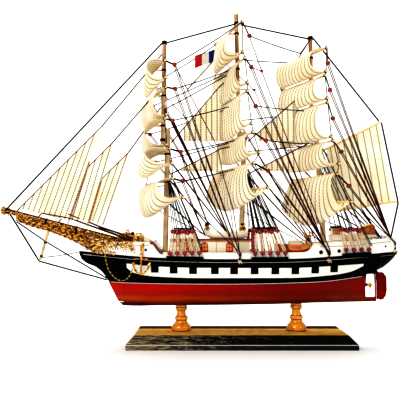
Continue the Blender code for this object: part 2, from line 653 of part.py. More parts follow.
def build_anchor(yard, name, side):
    """A stocked anchor that hangs beside the bow: shank, stock and two curved arms."""
    y = side * ANCHOR_Y
    shank = rod_mesh(name, (ANCHOR_X, y, ANCHOR_TOP_Z), (ANCHOR_X, y, ANCHOR_FOOT_Z), 1.2, sides=8)
    obj = yard.add(name, shank, "brass")
    stock = ((ANCHOR_X - 8.0, y, ANCHOR_STOCK_Z), (ANCHOR_X + 8.0, y, ANCHOR_STOCK_Z))
    parts = {"stock": rod_mesh(f"{name}_stock", *stock, 0.9, sides=6)}
    for word, way in (("fore", -1), ("aft", 1)):
        foot = (ANCHOR_X - way * 0.6, y, ANCHOR_FOOT_Z)
        bend = (ANCHOR_X + way * ANCHOR_SPREAD, y, ANCHOR_FOOT_Z + 9.0)
        parts[f"arm_{word}"] = rod_mesh(f"{name}_arm_{word}", foot, bend, 1.3, 1.0, sides=6)
    for word, mesh in parts.items():
        yard.boolean(obj, yard.helper(f"{name}_{word}", mesh), "UNION")


def build_stern_gear(yard):
    half = RUDDER_THICK / 2
    outline = [(0.0, RUDDER_BACK[-1][1] + 1.0)]
    outline += [(x - RUDDER_AXIS_X, z) for x, z in reversed(RUDDER_BACK)]
    outline += [(RUDDER_TOP[0] - RUDDER_AXIS_X, RUDDER_TOP[1]), (0.0, RUDDER_TOP[1])]
    blade = yard.add("rudder", plate_mesh("rudder", outline, 0.0, RUDDER_THICK), "red_paint")
    blade.location = Vector((RUDDER_AXIS_X, 0.0, 0.0)) * MM
    stock = yard.helper("rudder_stock", rod_mesh(
        "rudder_stock", (0.0, 0.0, outline[0][1]), (0.0, 0.0, RUDDER_STOCK_Z), half, sides=12))
    stock.location = blade.location
    yard.boolean(blade, stock, "UNION")

    hub = rod_mesh("propeller", (-2.6, 0.0, 0.0), (2.4, 0.0, 0.0), 1.9, 1.3, sides=12)
    screw = yard.add("propeller", hub, "brass")
    screw.location = Vector((PROPELLER_X, 0.0, SHAFT_Z)) * MM
    for i in range(3):
        mesh = box_mesh(f"propeller_blade_{i}", (-0.5, 0.5), (-1.9, 1.9), (0.4, PROPELLER_RADIUS))
        pitch = Matrix.Rotation(math.radians(38), 4, "Z")
        mesh.transform(Matrix.Rotation(math.radians(120 * i), 4, "X") @ pitch)
        vane = yard.helper(f"propeller_blade_{i}", mesh)
        vane.location = screw.location
        yard.boolean(screw, vane, "UNION")


def mast_line(mast, z):
    """X and radius of the spar that faces forward at height z."""
    data = MASTS[mast]
    (x0, z0), (x1, z1) = data["foot"], data["head"]
    lower = x0 + (x1 - x0) * (z - z0) / (z1 - z0)
    if z < data["top_foot_z"] - 1.0:
        return lower, LOWER_RADIUS
    foot_x = x0 + (x1 - x0) * (data["top_foot_z"] - z0) / (z1 - z0) - LOWER_RADIUS - UPPER_RADIUS - GAP
    top_x, top_z = data["top"]
    return foot_x + (top_x - foot_x) * (z - data["top_foot_z"]) / (top_z - data["top_foot_z"]), UPPER_RADIUS


def build_masts(yard):
    """Each mast is a lower and an upper spar, side by side where the cap holds them."""
    for mast, data in MASTS.items():
        name = f"mast_{mast}"
        (x0, z0), (x1, z1) = data["foot"], data["head"]
        foot_z = data["top_foot_z"]
        lower = rod_mesh(name, (x0, 0.0, z0), (x1, 0.0, z1), LOWER_RADIUS, sides=14)
        obj = yard.add(name, lower, "pale_wood", smooth=True)
        start, end = mast_line(mast, foot_z)[0], data["top"]
        upper = rod_mesh(
            f"{name}_upper", (start, 0.0, foot_z), (end[0], 0.0, end[1]), UPPER_RADIUS, sides=12)
        cap_x = x1 - (LOWER_RADIUS + UPPER_RADIUS) / 2
        cap = box_mesh(f"{name}_cap", (cap_x - CAP_SIZE[0] / 2, cap_x + CAP_SIZE[0] / 2),
                       (-CAP_SIZE[1] / 2, CAP_SIZE[1] / 2), (z1 - CAP_SIZE[2] - 0.6, z1 - 0.6))
        for word, mesh in (("upper", upper), ("cap", cap)):
            yard.boolean(obj, yard.helper(f"{name}_{word}", mesh), "UNION")


def stick_end(centre, half, swing, side, height):
    """End of a stick swung about its middle: side -1 is port, which goes aft."""
    angle = math.radians(swing)
    reach = half / math.cos(angle)
    return Vector((centre - side * reach * math.sin(angle), side * reach * math.cos(angle), height))


def square_sail(yard, mast, number, row):
    """A bellied sail with its yard, its foot stick and the parrel that holds it to the mast."""
    yard_z, foot_z, yard_half, foot_half, ahead, foot_aft = row[:6]
    port, starboard, middle, high, rise, fall, sag, swing, foot_swing = row[6:]
    name = f"sail_{mast}_{number}"
    mast_x, mast_radius = mast_line(mast, yard_z)
    yard_x = mast_x - mast_radius - ahead
    foot_x = yard_x + foot_aft
    across, down = SAIL_STEPS

    bm = bmesh.new()
    bmesh.ops.create_grid(bm, x_segments=across, y_segments=down, size=1.0)
    for vertex in bm.verts:
        side, t = vertex.co.x, (1.0 - vertex.co.y) / 2
        port_or_starboard = math.copysign(1, side)
        top = stick_end(yard_x, abs(side) * (yard_half - SAIL_INSET), swing, port_or_starboard, yard_z)
        foot = stick_end(foot_x, abs(side) * (foot_half - SAIL_INSET), foot_swing, port_or_starboard, foot_z)
        inner = 1.0 - side * side
        depth = (port + (starboard - port) * (1.0 + side) / 2 + middle * inner) * 4 / 3
        upper = top + Vector((-depth * high, 0.0, rise))
        lower = foot + Vector((-depth * (2.0 - high), 0.0, -fall - sag * inner))
        s = 1.0 - t
        vertex.co = (top * s ** 3 + upper * 3 * s * s * t + lower * 3 * s * t * t + foot * t ** 3) * MM
    mesh = bpy.data.meshes.new(name)
    bm.to_mesh(mesh)
    bm.free()
    obj = yard.add(name, mesh, "sail_cloth")
    shell = obj.modifiers.new("cloth", "SOLIDIFY")
    shell.thickness = SAIL_THICK * MM
    shell.offset = 0.0

    for flat_name, y, _, line, through in FLAT_SAILS:
        if name in through:
            eyelet = yard.helper(f"eyelet_{flat_name}", line_mesh(
                f"eyelet_{flat_name}", line[-2:], y, EYELET_RADIUS))
            yard.boolean(obj, eyelet, "DIFFERENCE")

    parrel_start = (yard_x, 0.0, yard_z)
    parrel_end = (mast_x - mast_radius - GAP, 0.0, yard_z)
    parts = {
        "yard": (stick_end(yard_x, yard_half, swing, -1, yard_z),
                 stick_end(yard_x, yard_half, swing, 1, yard_z), YARD_RADIUS),
        "foot": (stick_end(foot_x, foot_half, foot_swing, -1, foot_z),
                 stick_end(foot_x, foot_half, foot_swing, 1, foot_z), YARD_RADIUS),
        "parrel": (parrel_start, parrel_end, PARREL_RADIUS),
    }
    for word, (start, end, radius) in parts.items():
        stick = yard.helper(f"{name}_{word}", rod_mesh(f"{name}_{word}", start, end, radius, sides=8))
        yard.boolean(obj, stick, "UNION")


def build_sails(yard):
    for mast, rows in SQUARE_SAILS.items():
        for number, row in enumerate(rows, start=1):
            square_sail(yard, mast, number, row)
    for name, y, corners, line, _ in FLAT_SAILS:
        obj = yard.add(name, plate_mesh(name, corners, y, SAIL_THICK), "sail_cloth")
        luff = yard.helper(f"{name}_line", line_mesh(f"{name}_line", line, y, LUFF_RADIUS))
        yard.boolean(obj, luff, "UNION")
    spanker = yard.add("spanker", plate_mesh("spanker", SPANKER, 0.0, SAIL_THICK), "sail_cloth")
    for word, spar in (("gaff", GAFF), ("boom", BOOM)):
        yard.boolean(spanker, yard.helper(word, rod_mesh(word, *spar, sides=12)), "UNION")
    flag = yard.add("flag", plate_mesh("flag", FLAG, FLAG_Y, FLAG_THICK), "flag_cloth")
    flag_rods = (("stick", FLAG_STICK, FLAG_STICK_RADIUS), ("hoist", FLAG_HOIST, FLAG_HOIST_RADIUS))
    for word, ends, radius in flag_rods:
        rod = yard.helper(f"flag_{word}", rod_mesh(f"flag_{word}", *ends, radius, sides=8))
        yard.boolean(flag, rod, "UNION")


def build_spars(yard):
    for name, material, start, end, radius, end_radius in SPARS:
        yard.add(name, rod_mesh(name, start, end, radius, end_radius, sides=12), material, smooth=True)
    for name, points in STAYS:
        yard.add_tube(name, [(x, 0.0, z) for x, z in points], STAY_RADIUS, "black_thread")


def main():
    clear_scene()
    yard = Yard()
    build_stand(yard)
    build_hull(yard)
    build_bands(yard)
    build_bulwark(yard)
    build_decks(yard)
    build_houses(yard)
    build_boats(yard)
    build_bow(yard)
    build_stern_gear(yard)
    build_masts(yard)
    build_sails(yard)
    build_spars(yard)


main()
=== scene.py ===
import json
from math import atan2, copysign, cos, pi, radians, sin, tau

import bmesh
import bpy
from mathutils import Matrix, Vector, noise

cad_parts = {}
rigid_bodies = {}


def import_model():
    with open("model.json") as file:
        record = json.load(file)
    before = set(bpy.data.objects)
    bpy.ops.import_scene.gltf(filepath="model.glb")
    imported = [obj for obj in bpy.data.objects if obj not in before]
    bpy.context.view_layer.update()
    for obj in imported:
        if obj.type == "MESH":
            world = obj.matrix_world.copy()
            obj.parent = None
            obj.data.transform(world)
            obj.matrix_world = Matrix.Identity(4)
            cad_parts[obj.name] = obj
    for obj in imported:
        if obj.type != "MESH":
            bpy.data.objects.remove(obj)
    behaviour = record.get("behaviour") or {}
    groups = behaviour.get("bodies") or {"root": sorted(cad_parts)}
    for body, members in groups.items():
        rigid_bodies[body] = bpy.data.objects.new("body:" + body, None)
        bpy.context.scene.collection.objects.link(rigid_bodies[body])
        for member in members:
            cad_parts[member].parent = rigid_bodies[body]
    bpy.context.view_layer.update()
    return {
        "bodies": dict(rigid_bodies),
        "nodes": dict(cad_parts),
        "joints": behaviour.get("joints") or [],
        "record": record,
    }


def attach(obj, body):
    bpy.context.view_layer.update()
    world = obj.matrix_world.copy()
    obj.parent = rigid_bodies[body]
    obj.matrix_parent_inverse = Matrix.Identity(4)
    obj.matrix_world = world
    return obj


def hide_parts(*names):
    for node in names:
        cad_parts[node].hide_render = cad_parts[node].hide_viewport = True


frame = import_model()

# Three-masted wooden ship model on its stand. Sizes are millimetres until a point is made.
# Bow at -X, port side (towards the camera) at -Y, board's underside at Z = 0.
mm = 0.001
alongX, upZ = Vector((1, 0, 0)), Vector((0, 0, 1))
quarterX = Matrix.Rotation(radians(90), 3, "X")
print("frame loaded")


# selecting, naming and placing

def vec(x, y, z):
    return Vector((x, y, z))


def turnTo(mode):
    bpy.ops.object.mode_set(mode=mode)


def dropSelection():
    if bpy.context.object is not None and bpy.context.object.mode != "OBJECT":
        turnTo("OBJECT")
    bpy.ops.object.select_all(action="DESELECT")


def pick(obj):
    dropSelection()
    obj.select_set(True)
    bpy.context.view_layer.objects.active = obj


def opened(obj, choice="SELECT"):
    # the object in edit mode, with all or none of it selected
    pick(obj)
    turnTo("EDIT")
    bpy.ops.mesh.select_all(action=choice)


def settle(obj, *modifiers):
    # moves the object's place into its mesh and applies the modifiers
    pick(obj)
    bpy.ops.object.transform_apply(location=True, rotation=True, scale=True)
    for kind, values in modifiers:
        extra = obj.modifiers.new(kind.title(), kind)
        for key, value in values.items():
            setattr(extra, key, value)
        bpy.ops.object.modifier_apply(modifier=extra.name)
    return obj


def thickened(thick):
    # the modifier that gives a sheet its thickness, half to each side
    return "SOLIDIFY", {"thickness": thick * mm, "offset": 0}


def eased(width, limit):
    # the modifier that rounds edges sharper than limit, in radians
    return "BEVEL", {"width": width * mm, "segments": 2, "angle_limit": limit}


def linked(mesh):
    obj = bpy.data.objects.new(mesh.name, mesh)
    bpy.context.scene.collection.objects.link(obj)
    return obj


def entryAt(row, share):
    # the entry of a list at a share of its length
    return row[round(share * (len(row) - 1))]


def tidyNormals(obj):
    opened(obj)
    bpy.ops.mesh.remove_doubles(threshold=0.02 * mm)
    bpy.ops.mesh.normals_make_consistent(inside=False)
    turnTo("OBJECT")


def fitOut(obj, name, material, slot, body="ship", replaces=(), smooth=35):
    # the last step of every piece, or of a list of pieces: name, finish, shading, and what it rides on
    if isinstance(obj, list):
        obj = joined(obj)
    obj.name = name
    obj.data.name = name
    obj.data.materials.clear()
    obj.data.materials.append(material)
    pick(obj)
    if smooth:
        bpy.ops.object.shade_smooth_by_angle(angle=radians(smooth))
    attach(obj, body)
    if replaces:
        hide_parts(*replaces)
    return obj


def joined(pieces):
    dropSelection()
    for piece in pieces:
        piece.select_set(True)
    bpy.context.view_layer.objects.active = pieces[0]
    if len(pieces) > 1:
        bpy.ops.object.join()
    return bpy.context.view_layer.objects.active


def writeUv(mesh, uvOf):
    # uvOf gives a loop's place on the pattern, in millimetres
    layer = mesh.uv_layers.get("UVMap") or mesh.uv_layers.new(name="UVMap")
    for loop in mesh.loops:
        u, v = uvOf(loop.vertex_index)
        layer.data[loop.index].uv = (u * mm, v * mm)


def laidGrid(across, down, place, uv=None):
    # a grid primitive with each point laid where place(a, b) puts it, a and b from 0 to 1
    dropSelection()
    bpy.ops.mesh.primitive_grid_add(x_subdivisions=across, y_subdivisions=down, size=2)
    obj = bpy.context.object
    shares = [((v.co.x + 1) / 2, (v.co.y + 1) / 2) for v in obj.data.vertices]
    for vertex, (a, b) in zip(obj.data.vertices, shares):
        vertex.co = Vector(place(a, b)) * mm
    if uv:
        writeUv(obj.data, lambda i: uv(*shares[i]))
    return obj


def rod(start, end, radius, endRadius=None, sides=12, rounding=0.3):
    # a round stick between two points, its end edges bevelled, with a map that runs along it
    first, second = Vector(start) * mm, Vector(end) * mm
    length = (second - first).length
    dropSelection()
    bpy.ops.mesh.primitive_cone_add(
        vertices=sides, radius1=radius * mm, radius2=(radius if endRadius is None else endRadius) * mm,
        depth=length, location=(0, 0, 0))
    obj = bpy.context.object
    if rounding:
        opened(obj, "DESELECT")
        bm = bmesh.from_edit_mesh(obj.data)
        for edge in bm.edges:
            if abs(edge.verts[0].co.z - edge.verts[1].co.z) < 1e-7 and len(edge.link_faces) == 2:
                edge.select_set(True)
        bmesh.update_edit_mesh(obj.data)
        bpy.ops.mesh.bevel(offset=rounding * radius * mm, segments=2)
        turnTo("OBJECT")
    points = [v.co.copy() for v in obj.data.vertices]
    writeUv(obj.data, lambda i: (atan2(points[i].y, points[i].x) * radius, points[i].z / mm))
    turn = (second - first).to_track_quat("Z", "Y").to_matrix().to_4x4()
    obj.data.transform(Matrix.Translation((first + second) / 2) @ turn)
    return obj


def block(low, high, bevel=0.25):
    # a box between two corners with its edges eased
    dropSelection()
    middle = [(a + b) / 2 * mm for a, b in zip(low, high)]
    bpy.ops.mesh.primitive_cube_add(size=1, location=middle)
    obj = bpy.context.object
    obj.scale = [abs(b - a) * mm for a, b in zip(low, high)]
    return settle(obj, ("BEVEL", {"width": bevel * mm, "segments": 2}))


def turnedPiece(profile, sides=32):
    # a half profile of radius and height, spun about Z
    mesh = bpy.data.meshes.new("turned")
    mesh.from_pydata([(r * mm, 0, z * mm) for r, z in profile],
                     [(i, i + 1) for i in range(len(profile) - 1)], [])
    obj = linked(mesh)
    opened(obj)
    bpy.ops.mesh.spin(steps=sides, angle=tau, center=(0, 0, 0), axis=(0, 0, 1))
    turnTo("OBJECT")
    tidyNormals(obj)
    return obj


def tubes(paths, radius, sides=6):
    # threads through lists of points, with a map that runs along each one
    vertices, faces, maps = [], [], []
    for path in paths:
        points = [Vector(p) for p in path]
        along = 0
        frameUp = vec(0.31, 0.22, 0.92)
        start = len(vertices)
        for i, point in enumerate(points):
            ahead = points[min(i + 1, len(points) - 1)] - points[max(i - 1, 0)]
            side = ahead.cross(frameUp)
            side = side.normalized() if side.length > 1e-6 else vec(1, 0, 0)
            up = side.cross(ahead).normalized()
            frameUp = up
            if i:
                along += (point - points[i - 1]).length
            for k in range(sides):
                angle = tau * k / sides
                vertices.append((point + (side * cos(angle) + up * sin(angle)) * radius) * mm)
                maps.append((angle * radius, along))
        for i in range(len(points) - 1):
            ring = start + i * sides
            for k in range(sides):
                other = (k + 1) % sides
                faces.append((ring + k, ring + other, ring + sides + other, ring + sides + k))
        faces.append(tuple(start + k for k in reversed(range(sides))))
        faces.append(tuple(start + (len(points) - 1) * sides + k for k in range(sides)))
    mesh = bpy.data.meshes.new("threads")
    mesh.from_pydata(vertices, [], faces)
    writeUv(mesh, lambda i: maps[i])
    return linked(mesh)


def threads(name, paths, radius, material, slot="black_thread", sides=5, **more):
    # threads or painted lines of one kind under one name
    return fitOut(tubes(paths, radius, sides), name, material, slot, **more)


def copies(pattern, places):
    # one mesh of many copies of a small piece, each at its own matrix
    bm = bmesh.new()
    for place in places:
        part = pattern.data.copy()
        part.transform(place)
        bm.from_mesh(part)
        bpy.data.meshes.remove(part)
    mesh = bpy.data.meshes.new("copies")
    bm.to_mesh(mesh)
    bm.free()
    return linked(mesh)


def drop(obj):
    bpy.data.objects.remove(obj, do_unlink=True)


def at(x, y, z, turn=None, scale=1):
    # a matrix at a place in millimetres
    matrix = Matrix.Translation(Vector((x, y, z)) * mm)
    if turn:
        matrix = matrix @ turn.to_4x4()
    return matrix @ Matrix.Scale(scale, 4)


def curveThrough(points):
    # a smooth line through points of x and height that never overshoots them
    xs, ys = [p[0] for p in points], [p[1] for p in points]
    steps = [(ys[i + 1] - ys[i]) / (xs[i + 1] - xs[i]) for i in range(len(xs) - 1)]
    inner = [0 if a * b <= 0 else 2 * a * b / (a + b) for a, b in zip(steps, steps[1:])]
    slopes = [steps[0]] + inner + [steps[-1]]

    def height(x):
        if x <= xs[0]:
            return ys[0]
        if x >= xs[-1]:
            return ys[-1]
        i = max(k for k in range(len(xs) - 1) if xs[k] <= x)
        gap = xs[i + 1] - xs[i]
        t = (x - xs[i]) / gap
        return (ys[i] * (1 + 2 * t) * (1 - t) ** 2 + slopes[i] * gap * t * (1 - t) ** 2
                + ys[i + 1] * t * t * (3 - 2 * t) + slopes[i + 1] * gap * t * t * (t - 1))
    return height


# finishes

def paint(code):
    # sRGB hex to linear colour
    parts = [int(code[i:i + 2], 16) / 255 for i in (0, 2, 4)]
    return (*[c / 12.92 if c <= 0.04045 else ((c + 0.055) / 1.055) ** 2.4 for c in parts], 1)


def add(tree, kind, inputs=None, **settings):
    made = tree.nodes.new(kind)
    for key, value in settings.items():
        setattr(made, key, value)
    for key, value in (inputs or {}).items():
        if isinstance(value, bpy.types.NodeSocket):
            tree.links.new(value, made.inputs[key])
        else:
            made.inputs[key].default_value = value
    return made


def tuned(material, **values):
    # sets values of the finish by name, with "_" for a space
    shader = material.node_tree.nodes["Principled BSDF"]
    for key, value in values.items():
        shader.inputs[key.replace("_", " ")].default_value = value
    return material


def newFinish(name, **values):
    material = bpy.data.materials.new(name)
    material.use_nodes = True
    tuned(material, **values)
    return material, material.node_tree, material.node_tree.nodes["Principled BSDF"]


def painted(tree, shader, colour):
    tree.links.new(colour, shader.inputs["Base Color"])


def laidOver(material):
    # the tree of a finish, its shader and the colour that it has so far
    shader = material.node_tree.nodes["Principled BSDF"]
    return material.node_tree, shader, shader.inputs["Base Color"].links[0].from_socket


def placeOn(tree, coords="Object"):
    return add(tree, "ShaderNodeTexCoord").outputs[coords]


def noisy(tree, place, scale=1, detail=2, **more):
    values = {"Vector": place, "Scale": scale, "Detail": detail}
    return add(tree, "ShaderNodeTexNoise", {**values, **more}).outputs["Fac"]


def axisOf(tree, place, axis):
    return add(tree, "ShaderNodeSeparateXYZ", {"Vector": place}).outputs[axis]


def ranged(tree, value, low, high, top=1):
    # 0 below low, top above high
    limits = {"Value": value, "From Min": low, "From Max": high, "To Max": top}
    return add(tree, "ShaderNodeMapRange", limits).outputs["Result"]


def ramp(tree, factor, *stops):
    made = add(tree, "ShaderNodeValToRGB", {"Fac": factor})
    points = made.color_ramp.elements
    while len(points) < len(stops):
        points.new(0.5)
    for point, (place, code) in zip(points, stops):
        point.position = place
        point.color = paint(code)
    return made.outputs["Color"]


def scaled(tree, source, scale):
    # a place on the pattern with each axis multiplied, so that 1 becomes 1 / scale metres
    return add(tree, "ShaderNodeMapping", {"Vector": source, "Scale": scale}).outputs["Vector"]


def bumped(tree, shader, height, depth):
    # depth is the relief in millimetres
    lift = add(tree, "ShaderNodeBump", {"Height": height, "Distance": depth * mm, "Strength": 1})
    tree.links.new(lift.outputs["Normal"], shader.inputs["Normal"])


def mixed(tree, share, first, second, blend="MIX"):
    made = add(tree, "ShaderNodeMix", data_type="RGBA", blend_type=blend)
    for socket, value in ((made.inputs[0], share), (made.inputs[6], first), (made.inputs[7], second)):
        if isinstance(value, bpy.types.NodeSocket):
            tree.links.new(value, socket)
        else:
            socket.default_value = value
    return made.outputs[2]


def maths(tree, operation, first, second=0, third=0):
    return add(tree, "ShaderNodeMath", {0: first, 1: second, 2: third}, operation=operation).outputs[0]


def summed(tree, first, second, share, rest):
    # two patterns mixed, first by its share and second by the rest
    return maths(tree, "MULTIPLY_ADD", first, share, maths(tree, "MULTIPLY", second, rest))


def grainedFinish(name, light, dark, stretch, roughness=0.4, coat=0.3, relief=0.04, coords="Object"):
    # wood under varnish or stain: streaks along the grain, the coordinates squeezed by stretch
    material, tree, shader = newFinish(name, Roughness=roughness, Coat_Weight=coat, Coat_Roughness=0.12)
    place = placeOn(tree, coords)
    streaks = noisy(tree, scaled(tree, place, stretch), 1, 6, Roughness=0.62)
    both = summed(tree, noisy(tree, place, 90), streaks, 0.35, 0.8)
    painted(tree, shader, ramp(tree, both, (0.38, dark), (0.66, light)))
    bumped(tree, shader, streaks, relief)
    return material


def lacquerFinish(name, light, dark, roughness=0.2, coat=0.7, wave=0.25, brush=(12, 160, 160)):
    # brushed lacquer on carved wood: long brush marks along the hull and a slight unevenness
    material, tree, shader = newFinish(name, Roughness=roughness, Coat_Weight=coat, Coat_Roughness=0.08)
    place = placeOn(tree)
    marks = noisy(tree, scaled(tree, place, brush), 1, 5)
    clouds = noisy(tree, place, 22, 3)
    share = summed(tree, marks, clouds, 0.5, 0.5)
    painted(tree, shader, ramp(tree, share, (0.34, dark), (0.64, light)))
    bumped(tree, shader, summed(tree, clouds, marks, 1, 0.12), wave)
    return material


def threadFinish(name, light, dark, roughness=0.75, twist=0.17):
    # two-ply waxed thread, the twist coarser than real so that it shows; its dark bands are painted shade
    # between the plies
    material, tree, shader = newFinish(name, Roughness=roughness, Specular_IOR_Level=0.15)
    place = scaled(tree, placeOn(tree, "UV"), (900, 700, 1))
    wave = add(tree, "ShaderNodeTexWave", {"Vector": place, "Scale": twist, "Distortion": 0.6},
               wave_type="BANDS", bands_direction="DIAGONAL").outputs["Fac"]
    painted(tree, shader, ramp(tree, wave, (0.25, dark), (0.8, light)))
    bumped(tree, shader, wave, 0.12)
    return material


# in millimetres: length of a stitch, from one stitch to the next, half-width of the lap under a seam
# then how dark the painted shade along the lap is, and how dark the thread and the gaps between stitches are
sewing = {"stitch": 1.9, "pitch": 3, "lap": 0.9, "lapShade": 0.22, "threadDark": 0.86, "gapDark": 0.08}


def clothFinish(name, light, dark, thread, seamGap=7, seamWidth=1.1):
    # starched cotton: cream, in strips sewn along their laps with long dark stitches, and painted shade along
    # each lap
    material, tree, shader = newFinish(name, Roughness=0.88, Sheen_Weight=0.12, Sheen_Roughness=0.4)
    coords = add(tree, "ShaderNodeTexCoord").outputs
    place = scaled(tree, coords["UV"], (1000, 1000, 1000))
    offSeam = maths(tree, "PINGPONG", axisOf(tree, place, "X"), seamGap / 2)
    onSeam = maths(tree, "LESS_THAN", offSeam, seamWidth / 2)
    # a whole number of pitches is added, so that the count runs on across the middle
    along = maths(tree, "ADD", axisOf(tree, place, "Y"), 300 * sewing["pitch"])
    stitch = maths(tree, "LESS_THAN", maths(tree, "MODULO", along, sewing["pitch"]), sewing["stitch"])
    weave = noisy(tree, place, 1.6)
    tone = summed(tree, noisy(tree, coords["Object"], 35, 3), weave, 0.7, 0.3)
    plain = ramp(tree, tone, (0.32, dark), (0.62, light))
    # painted shade: the cloth within the lap's width of each seam is darkened towards the thread's colour
    lap = maths(tree, "LESS_THAN", offSeam, sewing["lap"])
    lapShaded = mixed(tree, maths(tree, "MULTIPLY", lap, sewing["lapShade"]), plain, paint(thread))
    shown = maths(tree, "MULTIPLY_ADD", stitch, sewing["threadDark"], sewing["gapDark"])
    painted(tree, shader, mixed(tree, maths(tree, "MULTIPLY", onSeam, shown), lapShaded, paint(thread)))
    bumped(tree, shader, maths(tree, "MULTIPLY_ADD", lap, 0.6, weave), 0.12)
    return material


# Starched unbleached cotton: matt, warm, a little blotchy
sailCotton = clothFinish("starchedCotton", "FFF6DE", "F6E0B6", "1E100A")
# The spanker's wider strips, then the jibs' bolder stitches
sailCottonWide = clothFinish("starchedCottonWideSeams", "FFF6DE", "F6E0B6", "1E100A", 9, 1)
sailCottonJib = clothFinish("starchedCottonBoldStitches", "FFF6DE", "F6E0B6", "120806", 7, 1.3)
# Birch dowel, clear varnish: pale yellow with brown streaks along the stick
birchDowel = grainedFinish("varnishedBirchDowel", "F6DCA4", "C89452", (900, 60, 1), 0.38, 0.25, coords="UV")
# Masts: thicker dowel, darker with age, grain up the spar
mastDowel = grainedFinish("varnishedMastDowel", "E4CA98", "98764C", (700, 700, 40), 0.36, 0.35)
# Turned posts: amber varnish on a close-grained wood, glossy
amberTurned = grainedFinish("amberVarnishedTurning", "EC9C16", "B0680C", (500, 500, 90), 0.22, 0.5)
# Painted shade: dark lines in the grooves and at the steps of the turned posts
grooveShade = grainedFinish("paintedGrooveShade", "5A2206", "2A0C02", (300, 300, 300), 0.4, 0.2)
# Pine of the board's top, and along its rear a dull dark strip that is painted shade; neither with any shine
boardTopPine = grainedFinish("varnishedPineTop", "DCB062", "A0762F", (24, 420, 420), 0.5, 0)
rearShadeStrip = grainedFinish("paintedShadeRearStrip", "54403A", "1E1412", (24, 420, 420), 0.7, 0)
for matt in (boardTopPine, rearShadeStrip):
    tuned(matt, Specular_IOR_Level=0)
# Deck planks, the deck boats' varnish and the stain of roof and seams
deckPine = grainedFinish("deckPine", "D9B980", "A9814A", (40, 800, 800), 0.55, 0)
boatVarnish = grainedFinish("varnishedBoatWood", "DA7A26", "7A2C08", (40, 500, 500), 0.28, 0.6)
roofStain = grainedFinish("mahoganyStain", "8A3218", "3A0E06", (40, 500, 500), 0.35, 0.4)
# Lacquers of the hull, brushed on over filler
blackLacquer = lacquerFinish("blackHullLacquer", "010102", "000000", 0.2, 0.03, 0.25)
redLacquer = lacquerFinish("redHullLacquer", "B01C06", "600A02", 0.2, 0.08, 0.3)
rudderRed = lacquerFinish("rudderRedLacquer", "8E0A04", "600402", 0.25, 0.03, 0.2)
for lacquer, shine in ((blackLacquer, 0.03), (redLacquer, 0.1), (rudderRed, 0.05)):
    tuned(lacquer, Specular_IOR_Level=shine)
whiteEnamel = lacquerFinish("whiteEnamel", "F6F5EE", "E6E3D6", 0.32, 0.3, 0.08)
creamEnamel = lacquerFinish("creamEnamel", "FBF5E2", "EADDBA", 0.4, 0.2, 0.08)
# Threads
blackThread = threadFinish("blackWaxedThread", "0C0A09", "020202")
brownThread = threadFinish("redBrownThread", "5A1C0E", "060101")
shroudThread = threadFinish("tarredShroudThread", "3E3A36", "020202")
leechThread = threadFinish("tanLeechThread", "C89058", "7A4420")
creamThread = threadFinish("creamLanyardThread", "FFF2D2", "C8A870", twist=0.6)


def darkenTopmasts():
    # the upper masts are darker than the lower ones, from 0.31 m up
    tree, shader, dowel = laidOver(mastDowel)
    share = ranged(tree, axisOf(tree, placeOn(tree), "Z"), 0.31, 0.34, 0.9)
    painted(tree, shader, mixed(tree, share, dowel, paint("BE9468"), "MULTIPLY"))


def paintHullRedShadeAndReflection():
    # painted shade and reflection: the red goes dark along the keel, a painted orange reflection runs where
    # the side swells, and aft the red is darkened further
    tree, shader, brushed = laidOver(redLacquer)
    place = placeOn(tree)
    drift = noisy(tree, scaled(tree, place, (9, 30, 60)), 1, 3)
    height = maths(tree, "MULTIPLY", axisOf(tree, place, "Z"), 25)
    level = maths(tree, "ADD", maths(tree, "ADD", height, -1.32), maths(tree, "MULTIPLY", drift, 0.3))
    # painted shade at the keel, then a painted orange reflection in the middle of the side, then the plain
    # red above
    shadeAndReflection = ramp(tree, level, (0, "140101"), (0.12, "420603"), (0.3, "B8501A"), (0.42, "A82408"),
                  (0.62, "B81605"), (1, "A01002"))
    # painted shade: the red darkens aft, so the painted reflection stays forward
    aft = ranged(tree, axisOf(tree, place, "X"), -0.1, 0.05, 0.62)
    painted(tree, shader, mixed(tree, 0.85, brushed, mixed(tree, aft, shadeAndReflection, paint("3C0201"))))


darkenTopmasts()
paintHullRedShadeAndReflection()
print("finishes mixed")


# studio: pale floor and backdrop in one sweep, soft lights, and the photograph's camera

# each light's place, what it faces, its size and its power: key high on the left of the camera, fill on the
# right, a long strip above for the hull's shine, a low one for its side, and one for the backdrop
studio = {
    "floorSize": 6, "backdropY": 1.6, "floor": "F7F6F4", "rises": ((0, 0.6, 0.25), (0, 0.15, 3)),
    "bend": 0.2, "room": 0.2,
    "lens": 49.39, "sensor": 36, "cameraPlace": (-50, -700, 142.7), "cameraPitch": 3.129, "near": 0.01,
    "lights": {"keyLight": ((-0.9, -1.3, 1.3), (-0.04, 0, 0.18), 0.9, 15),
               "fillLight": ((1.2, -1, 0.7), (-0.04, 0, 0.18), 1.2, 4),
               "topLight": ((0.1, 0.3, 1.6), (-0.04, 0, 0.18), 1, 8),
               "lowLight": ((-0.1, -1.5, 0.12), (-0.04, 0, 0.12), 0.9, 2),
               "backdropLight": ((0, 0.7, 1.5), (0, 2.2, 0.4), 1.6, 26)},
}


